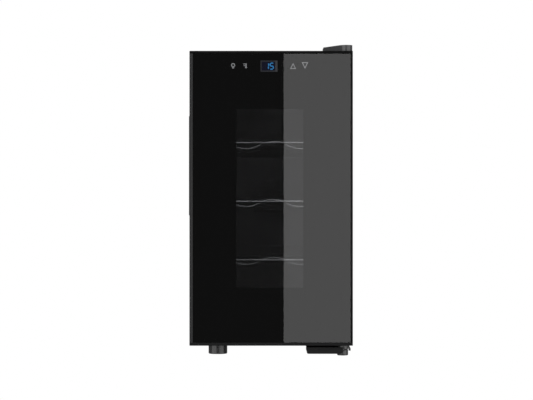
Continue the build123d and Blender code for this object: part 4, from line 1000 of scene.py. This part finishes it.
# %% Floor and surround
def pale_floor(size, drop):
    """Paper to the light, plain white to the camera, and open to reflections."""
    work_on(None)
    bpy.ops.mesh.primitive_plane_add(size=size, location=(0, 0, -drop))
    floor = bpy.context.object
    floor.name = "floor"
    material = bpy.data.materials.new("pale_floor")
    material.use_nodes = True
    tree = material.node_tree
    tree.nodes.clear()
    path = add_node(tree, "ShaderNodeLightPath")
    paper = add_node(tree, "ShaderNodeBsdfDiffuse", inputs={"Color": (0.85, 0.85, 0.85, 1)})
    pale = add_node(tree, "ShaderNodeEmission", inputs={"Color": (1.0, 1.0, 1.0, 1)})
    clear = add_node(tree, "ShaderNodeBsdfTransparent")
    seen = add_node(tree, "ShaderNodeMath", operation="MAXIMUM")
    soft = add_node(tree, "ShaderNodeMixShader")
    open_mix = add_node(tree, "ShaderNodeMixShader")
    out = add_node(tree, "ShaderNodeOutputMaterial")
    link = tree.links.new
    link(path.outputs["Is Camera Ray"], seen.inputs[0])
    link(path.outputs["Is Transmission Ray"], seen.inputs[1])
    link(seen.outputs[0], soft.inputs[0])
    link(paper.outputs[0], soft.inputs[1])
    link(pale.outputs[0], soft.inputs[2])
    link(path.outputs["Is Glossy Ray"], open_mix.inputs[0])
    link(soft.outputs[0], open_mix.inputs[1])
    link(clear.outputs[0], open_mix.inputs[2])
    link(open_mix.outputs[0], out.inputs[0])
    floor.data.materials.append(material)


def surround(diffuse, glossy):
    """Pale to the camera, dimmer as a light and dimmer again as a reflection."""
    world = bpy.data.worlds.new("studio")
    bpy.context.scene.world = world
    world.use_nodes = True
    tree = world.node_tree
    tree.nodes.clear()
    half_a_bounce = 0.5
    path = add_node(tree, "ShaderNodeLightPath")
    straight = add_node(tree, "ShaderNodeMath", operation="ADD")
    none_yet = add_node(tree, "ShaderNodeMath", operation="LESS_THAN")
    none_yet.inputs[1].default_value = half_a_bounce
    level = add_node(tree, "ShaderNodeMix", data_type="FLOAT")
    level.inputs[NUMBER_A].default_value = diffuse
    level.inputs[NUMBER_B].default_value = glossy
    seen = add_node(tree, "ShaderNodeMix", data_type="FLOAT")
    seen.inputs[NUMBER_B].default_value = 1.0
    light = add_node(tree, "ShaderNodeBackground", inputs={"Color": (1.0, 1.0, 1.0, 1.0)})
    out = add_node(tree, "ShaderNodeOutputWorld")
    bounced = add_node(tree, "ShaderNodeMath", operation="GREATER_THAN")
    bounced.inputs[1].default_value = half_a_bounce
    link = tree.links.new
    link(path.outputs["Glossy Depth"], straight.inputs[0])
    link(path.outputs["Diffuse Depth"], straight.inputs[1])
    link(straight.outputs[0], none_yet.inputs[0])
    link(path.outputs["Glossy Depth"], bounced.inputs[0])
    link(bounced.outputs[0], level.inputs[MIX_SHARE])
    link(none_yet.outputs[0], seen.inputs[MIX_SHARE])
    link(level.outputs[0], seen.inputs[NUMBER_A])
    link(seen.outputs[0], light.inputs["Strength"])
    link(light.outputs[0], out.inputs[0])


pale_floor(size=60, drop=0.5 * MM)
surround(diffuse=0.4, glossy=0.12)
print("floor and surround ready")

# %% Soft panels around the cooler
def soft_panel(name, place, target, width, height, radiance, spread=180.0):
    """A rectangular light that the camera doesn't see, aimed at a point."""
    lamp = bpy.data.lights.new(name, "AREA")
    lamp.shape = "RECTANGLE"
    lamp.size = width
    lamp.size_y = height
    lamp.energy = radiance * math.pi * width * height
    lamp.spread = math.radians(spread)
    panel = bpy.data.objects.new(name, lamp)
    bpy.context.scene.collection.objects.link(panel)
    panel.location = place
    aim = Vector(target) - Vector(place)
    panel.rotation_euler = aim.to_track_quat("-Z", "Y").to_euler()
    panel.visible_camera = False
    return panel


camera_x = -0.00663
card_left = camera_x + 0.0552
card_right = camera_x + 0.34
card_wide = card_right - card_left
card_high = 0.98
card_x = (card_left + card_right) / 2
card_y = glass_low.y - 3.52
card_z = 0.24
side_wide, side_high = 3.0, 2.2
door_middle = (0, -0.22, 0.25)
card_place = (card_x, card_y, card_z)
card_aim = (card_x, 0, card_z)
soft_panel("reflected_card", card_place, card_aim, card_wide, card_high, radiance=1.64)
soft_panel("left_panel", (-1.86, -1.9, 0.5), door_middle, side_wide, side_high, radiance=1.5)
soft_panel("right_panel", (1.86, -1.9, 0.5), door_middle, side_wide, side_high, radiance=1.5)
soft_panel("top_panel", (0, 0.2, 2.6), (0, 0.1, 0.25), width=2.0, height=1.4, radiance=1.2)
print("panels around the cooler:", len(bpy.data.lights))

# %% Strips over the shelves and a fill in the cavity
shelf_glow = {"shelf_bottom": 1.15, "shelf_middle": 1.75, "shelf_top": 1.45}
reflection_edge = 21 * MM
behind_front = 12 * MM
strip_deep = 70 * MM
for name, glow in shelf_glow.items():
    low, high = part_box(name)
    strip_y = low.y + behind_front
    own_shelf = bpy.data.collections.new(f"{name}_lit")
    own_shelf.objects.link(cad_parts[name])
    spans = (("whole", low.x, 1.0, 14 * MM), ("right", reflection_edge, 0.7, 15 * MM))
    for side, left, share, rise in spans:
        strip_x = (left + high.x) / 2
        place = (strip_x, strip_y, high.z + rise)
        aim = (strip_x, strip_y, low.z)
        wide = high.x - left
        strip = soft_panel(f"{name}_{side}", place, aim, wide, strip_deep, glow * share, spread=140.0)
        strip.visible_diffuse = False
        strip.visible_transmission = False
        strip.light_linking.receiver_collection = own_shelf
fill_x, fill_y, fill_z = 0.004, -0.197, 0.236
fill_place = (fill_x, fill_y, fill_z)
fill_aim = (fill_x, 0, fill_z)
cavity_fill = soft_panel("cavity_fill", fill_place, fill_aim, 0.17, 0.36, radiance=3.9, spread=60.0)
cavity_fill.visible_glossy = False
cavity_fill.visible_transmission = False
print("soft panels in all:", len(bpy.data.lights))

# %% [markdown]
# ## Camera
# The photograph was taken level and straight on, from far away with a long lens, so that
# the door's sides stay upright and nearly nothing of the cabinet shows behind the door.

# %% Camera and colour
camera_y, camera_z = -3.45, 0.2399
focal_length = 141.36
sensor_wide = 36.0
farthest = 200.0
lens = bpy.data.cameras.new("camera")
lens.lens = focal_length
lens.sensor_width = sensor_wide
lens.clip_end = farthest
camera = bpy.data.objects.new("camera", lens)
bpy.context.scene.collection.objects.link(camera)
camera.location = (camera_x, camera_y, camera_z)
camera.rotation_euler = (math.radians(90), 0, 0)
bpy.context.scene.camera = camera
bpy.context.scene.view_settings.view_transform = "Standard"
print("camera at", [round(v, 4) for v in camera.location])
